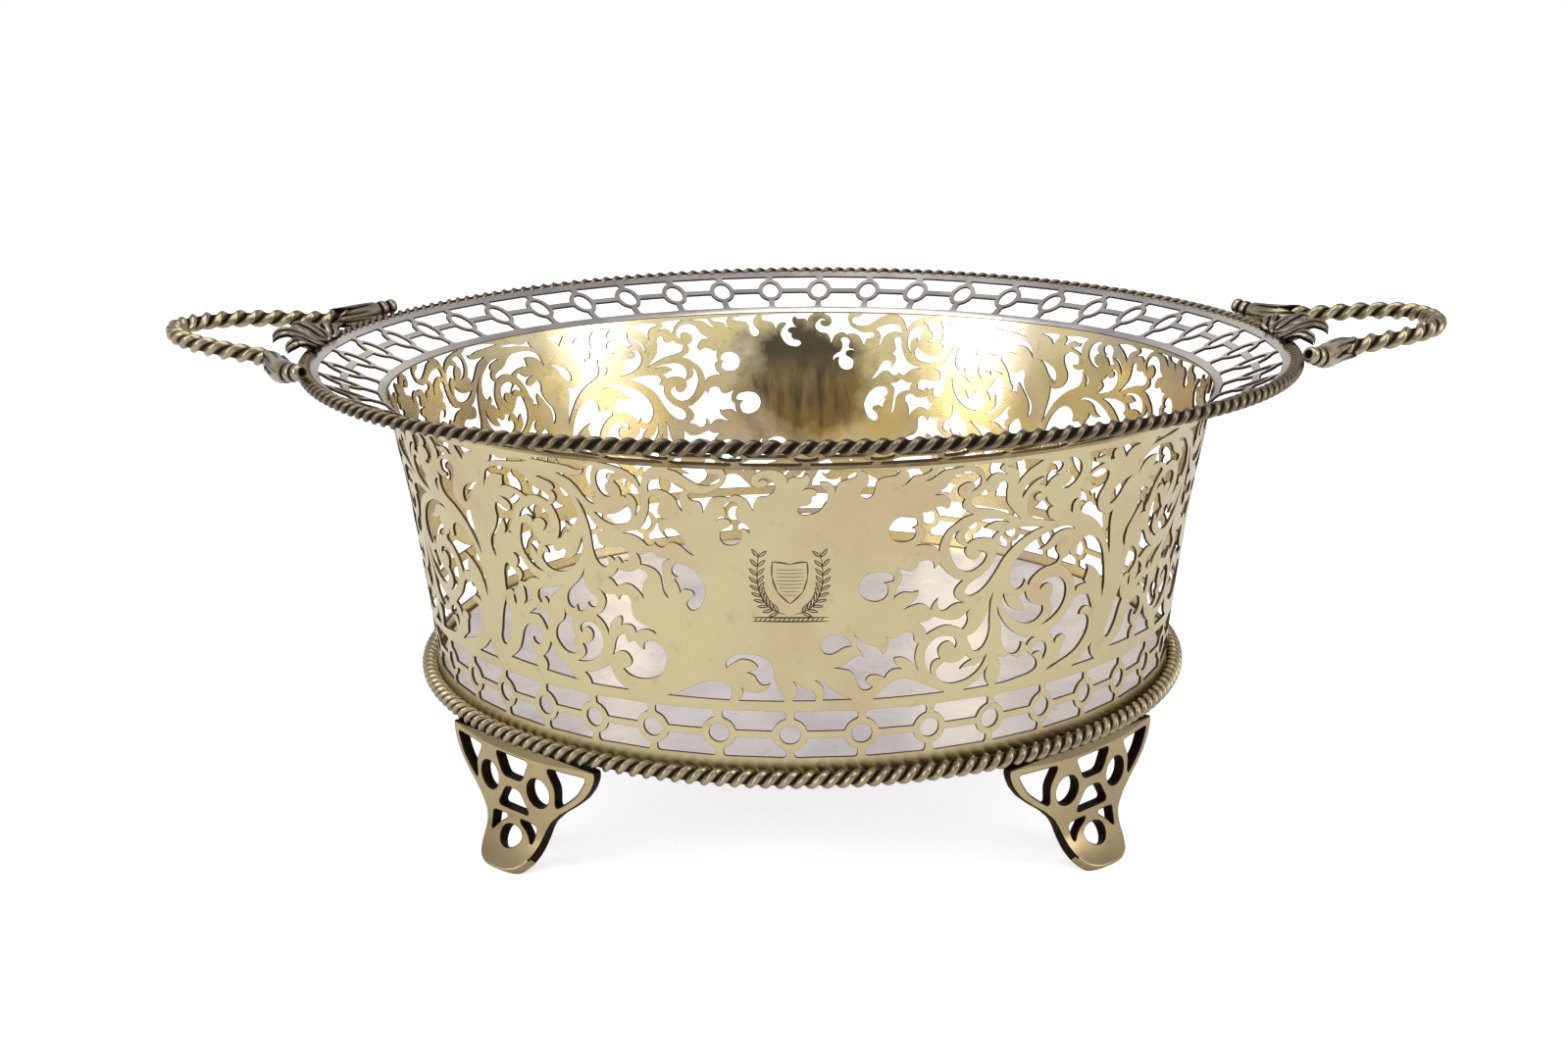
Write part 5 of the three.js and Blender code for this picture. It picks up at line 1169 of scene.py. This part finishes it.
def leaf_blade(root, heading, length, width, lift, curl):
    rows, columns = LEAF_ROWS, LEAF_COLUMNS
    out = np.array((math.cos(heading), math.sin(heading), 0))
    side = np.array((-math.sin(heading), math.cos(heading), 0))
    tops, unders, grooves = [], [], []
    for i in range(rows):
        t = i / (rows - 1)
        bulge = math.sin(math.pi * min(1, t ** 0.75)) ** 0.6
        scallop = 0.72 + 0.28 * abs(math.sin(math.pi * LEAF_LOBES * t))
        half = max(0.12, width * bulge * scallop + 0.35 * (1 - t))
        height = lift * math.sin(math.pi * 0.62 * t) - curl * t ** 4
        reach = length * (t - 0.10 * t ** 5)
        for k in range(columns):
            v = 2 * k / (columns - 1) - 1
            ridge = 0.55 * (1 - abs(v)) ** 1.5 - 0.9 * v * v * (0.4 + 0.6 * t)
            vein = 0.16 * math.cos(v * 9)
            spot = np.array(root) + out * (reach - 0.1 * length * abs(v) * (1 - t)) + side * half * v
            spot = spot + np.array((0, 0, height + ridge + vein))
            tops.append(spot)
            unders.append(spot - np.array((0, 0, 1.0 - 0.55 * abs(v))))
            # Painted shade: dark in the hollows between the veins and along the edges of each leaf.
            grooves.append(0.45 - 0.5 * math.cos(v * 9) + (0.3 if abs(v) > 0.9 else 0))
    count = rows * columns
    sheet = grid_faces(rows, columns, False)
    faces = flipped(sheet) + shifted(sheet, count)
    rim = list(range(columns)) + [i * columns + columns - 1 for i in range(1, rows)]
    rim += [count - 1 - k for k in range(1, columns)] + [i * columns for i in range(rows - 2, 0, -1)]
    for first, second in zip(rim, rim[1:] + rim[:1]):
        faces.append(([first, second, second + count, first + count], 0))
    return tops + unders, faces, grooves + grooves


for side_name, sign in (("left", -1), ("right", 1)):
    points, faces, grooves = [], [], []
    for leaf in SPRAY:
        leaf_points, leaf_faces, leaf_grooves = leaf_blade(*leaf)
        faces += shifted(leaf_faces if sign > 0 else flipped(leaf_faces), len(points))
        points += [(x * sign, y, z) for x, y, z in leaf_points]
        grooves += leaf_grooves
    cluster = build("spray_leaves_" + side_name, points, faces, [cast_silver], None, grooves)
    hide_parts("spray_" + side_name)


# Feet: four thick silver plates sawn with rings and scrolls, filed round at the edges, bent to the base
# ring and swept outwards at the toe. They are soldered under the base rope at 42 degrees from the front.
FOOT_ANGLE = math.radians(42.3)
FOOT_RADIUS = 90
FOOT_THICKNESS = 2.4
FOOT_EDGE = 0.32
TOE_REACH, SWEEP_TOP, SWEEP_HEIGHT = 6.6, 13, 9.8
LIP_HEIGHT = 6.2
FOOT_SIDE = [(23.2, 28.9), (23.2, 27), (22.2, 24.6), (20.2, 22), (17.2, 19.6), (14, 17.4), (11.4, 15),
             (9.9, 12.6), (9.0, 10.2), (8.4, 8), (7.5, 5.9), (5.8, 4.15), (3.25, 3.35), (1.2, 3.22)]
SIDE_OPENING = [(10.5, 27), (12.9, 22.9), (12.7, 18.6), (15.6, 20.6), (18.4, 22.9), (20.9, 27.1)]
TOE_OPENING = [(2.3, 13.5), (7.1, 13.2), (6.4, 8.4), (4.9, 10.6), (2.3, 12.7)]
TOP_OPENING = [(-5.2, 27.2), (-2.9, 22.4), (2.9, 22.4), (5.2, 27.2)]
MIDDLE_OPENING = [(-2.0, 19.9), (-5, 15.2), (5, 15.2), (2.0, 19.9)]
FEET = {"front_left": -QUARTER - FOOT_ANGLE, "front_right": -QUARTER + FOOT_ANGLE,
        "back_right": QUARTER - FOOT_ANGLE, "back_left": QUARTER + FOOT_ANGLE}


def mirrored(shape):
    return [(-x, z) for x, z in shape]


def foot_cell():
    loops = [rounded(FOOT_SIDE + mirrored(FOOT_SIDE[::-1]), 0.9, 3)]
    loops += [circle(-7.8, 20.9, 3.1, 28), circle(7.8, 20.9, 3.1, 28), circle(0, 9.1, 3.1, 28, 2.3)]
    for shape in (SIDE_OPENING, mirrored(SIDE_OPENING), TOE_OPENING, mirrored(TOE_OPENING), TOP_OPENING,
                  MIDDLE_OPENING):
        loops.append(rounded(shape, 1.2))
    edge, *openings = (without_doubles(loop, 0.05) for loop in loops)
    return cut_cell(edge, openings, grid_over((-23.5, 3.2), (23.5, 29), 1.1), FOOT_THICKNESS, FOOT_EDGE, True)


def bend_foot(spots, facing, angle):
    below = np.clip(SWEEP_TOP - spots[:, 1], 0, None) / SWEEP_HEIGHT
    radius = FOOT_RADIUS + TOE_REACH * below ** 2
    slope = -2 * TOE_REACH * below / SWEEP_HEIGHT
    turn = angle + spots[:, 0] / FOOT_RADIUS
    axes = upright(turn, slope)
    middle = np.column_stack([radius * np.cos(turn), radius * np.sin(turn), spots[:, 1]])
    points = middle + axes[2] * (FOOT_THICKNESS / 2 - spots[:, 2:])
    points[:, 2] = np.maximum(points[:, 2], DATUM + 0.01)
    return points, turned(axes, facing)


spots, facing, faces = join(*foot_cell(), 0)
# The sawn sides get the painted-shade silver, except low on the toe lip, whose lit front edge keeps the plain
# foot silver.
lit = [(face, 0 if slot == 2 and spots[list(face), 1].max() < LIP_HEIGHT else slot) for face, slot in faces]
for name, angle in FEET.items():
    points, normals = bend_foot(spots, facing, angle)
    foot = build("pierced_foot_" + name, points, lit, [foot_silver, foot_silver, foot_cut_shade_silver], normals)
    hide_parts("foot_" + name)


# Base plate and collar: the flat bottom inside the wall, and the narrow flat ring that joins the wall,
# the base rope and the feet from below.
LATHE_SIDES = 160
PLATE_RADIUS, PLATE_TOP, PLATE_UNDER, PLATE_CENTRE = 85.9, 32.1, 31.25, 6
PLATE = [(PLATE_CENTRE, PLATE_UNDER), (PLATE_RADIUS - 0.15, PLATE_UNDER), (PLATE_RADIUS, 31.4),
         (PLATE_RADIUS, 31.95), (PLATE_RADIUS - 0.15, PLATE_TOP)]
PLATE += [(r, PLATE_TOP) for r in np.linspace(PLATE_RADIUS - 0.2, PLATE_CENTRE, 9)[1:]]
COLLAR = [(82.1, 30.0), (82.1, 30.8), (82.2, 30.88), (88.0, 30.88), (88.0, 29.92), (82.2, 29.92),
          (82.1, 30.0)]


def lathe(name, node, profile, material):
    rows = [ring_path(r, z, LATHE_SIDES, 0) for r, z in profile]
    closed = profile[0] == profile[-1]
    faces = grid_faces(len(rows), LATHE_SIDES, True) if closed else closed_tube(len(rows), LATHE_SIDES)
    made = build(name, np.concatenate(rows), faces, [material])
    made.data.set_sharp_from_angle(angle=math.radians(40))
    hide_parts(node)


lathe("bottom_plate", "base_plate", PLATE, plate_silver)
lathe("base_ring", "base_collar", COLLAR, outside_silver)


# Engraving on the plain front panel: a blank shield between two sprays of laurel over a plain bar,
# cut as fine dark lines.
DEVICE_PLACE, DEVICE_SCALE = (-2.0, 72.0), 1.02
LINE_WIDTH = 0.26
LINE_TOP, LINE_DEPTH = -0.03, 0.2
SHIELD = [(-3.2, 4.6), (0, 4.1), (3.2, 4.6), (3.3, 1.5), (2.4, -1.6), (0, -4.0), (-2.4, -1.6), (-3.3, 1.5)]


def engraved(strokes, width):
    points, faces = [], []
    for stroke, thick in strokes:
        line = np.array(stroke, float)
        along = unit(np.gradient(line, axis=0))
        side = np.stack([-along[:, 1], along[:, 0]], 1)
        count = len(line)
        taper = np.sin(np.linspace(0.12, math.pi - 0.12, count)) ** 0.5
        half = (width * thick * taper / 2)[:, None]
        start = len(points)
        for depth in (LINE_TOP, LINE_DEPTH):
            for place in (line - side * half, line + side * half):
                points += [(x, z, depth) for x, z in place]
        corners = (0, 1, 3, 2)
        for i in range(count - 1):
            low, high, far, deep = (start + i + count * n for n in corners)
            for first, second in ((low, high), (far, deep), (deep, low), (high, far)):
                faces.append(([first, first + 1, second + 1, second], 0))
        for i in (0, count - 1):
            ends = [start + i + count * n for n in corners]
            faces.append((ends if i == 0 else ends[::-1], 0))
    return np.array(points), faces


def arc_line(start, bulge, end, steps=10):
    start, bulge, end = (np.array(p, float) for p in (start, bulge, end))
    return curve(start, bulge, end, np.linspace(0, 1, steps)[:, None])


strokes = []
for first, second in zip(SHIELD, SHIELD[1:] + SHIELD[:1]):
    middle = ((first[0] + second[0]) * 0.53, (first[1] + second[1]) * 0.53)
    strokes.append((arc_line(first, middle, second), 1.2))
for level in np.arange(-2.2, 3.6, 0.75):
    reach = 2.6 if level > 0 else 2.6 + level * 0.62
    strokes.append((arc_line((-reach, level), (0, level - 0.15), (reach, level)), 0.4))
for sign in (-1, 1):
    stem = arc_line((sign * 1.0, -6.2), (sign * 7.8, -4.8), (sign * 5.6, 6.6), 22)
    strokes.append((stem, 1.0))
    for i in range(2, 21, 2):
        base = stem[i]
        forward = unit(stem[i] - stem[i - 1])
        for turn in (-0.75, 0.75):
            c, s = math.cos(turn), math.sin(turn)
            way = np.array((forward[0] * c - forward[1] * s, forward[0] * s + forward[1] * c))
            bow = np.array((-way[1], way[0])) * 0.5
            for side, thick in ((1, 1.0), (-1, 0.8)):
                strokes.append((arc_line(base, base + way + bow * side, base + way * 2.1, 7), thick))
for level in (-6.9, -7.7):
    strokes.append((arc_line((-7.2, level), (0, level), (7.2, level), 14), 1.2))
for at in np.arange(-6.6, 6.7, 0.9):
    strokes.append((arc_line((at - 0.25, -7.6), (at, -7.3), (at + 0.35, -7.0), 5), 0.8))
strokes = [(np.array(stroke) * DEVICE_SCALE + DEVICE_PLACE, thick) for stroke, thick in strokes]
points, faces = engraved(strokes, LINE_WIDTH)
points, _ = bend_wall(points, np.zeros((len(points), 3)))
engraving = build("engraved_device", points, faces, [dark_silver])
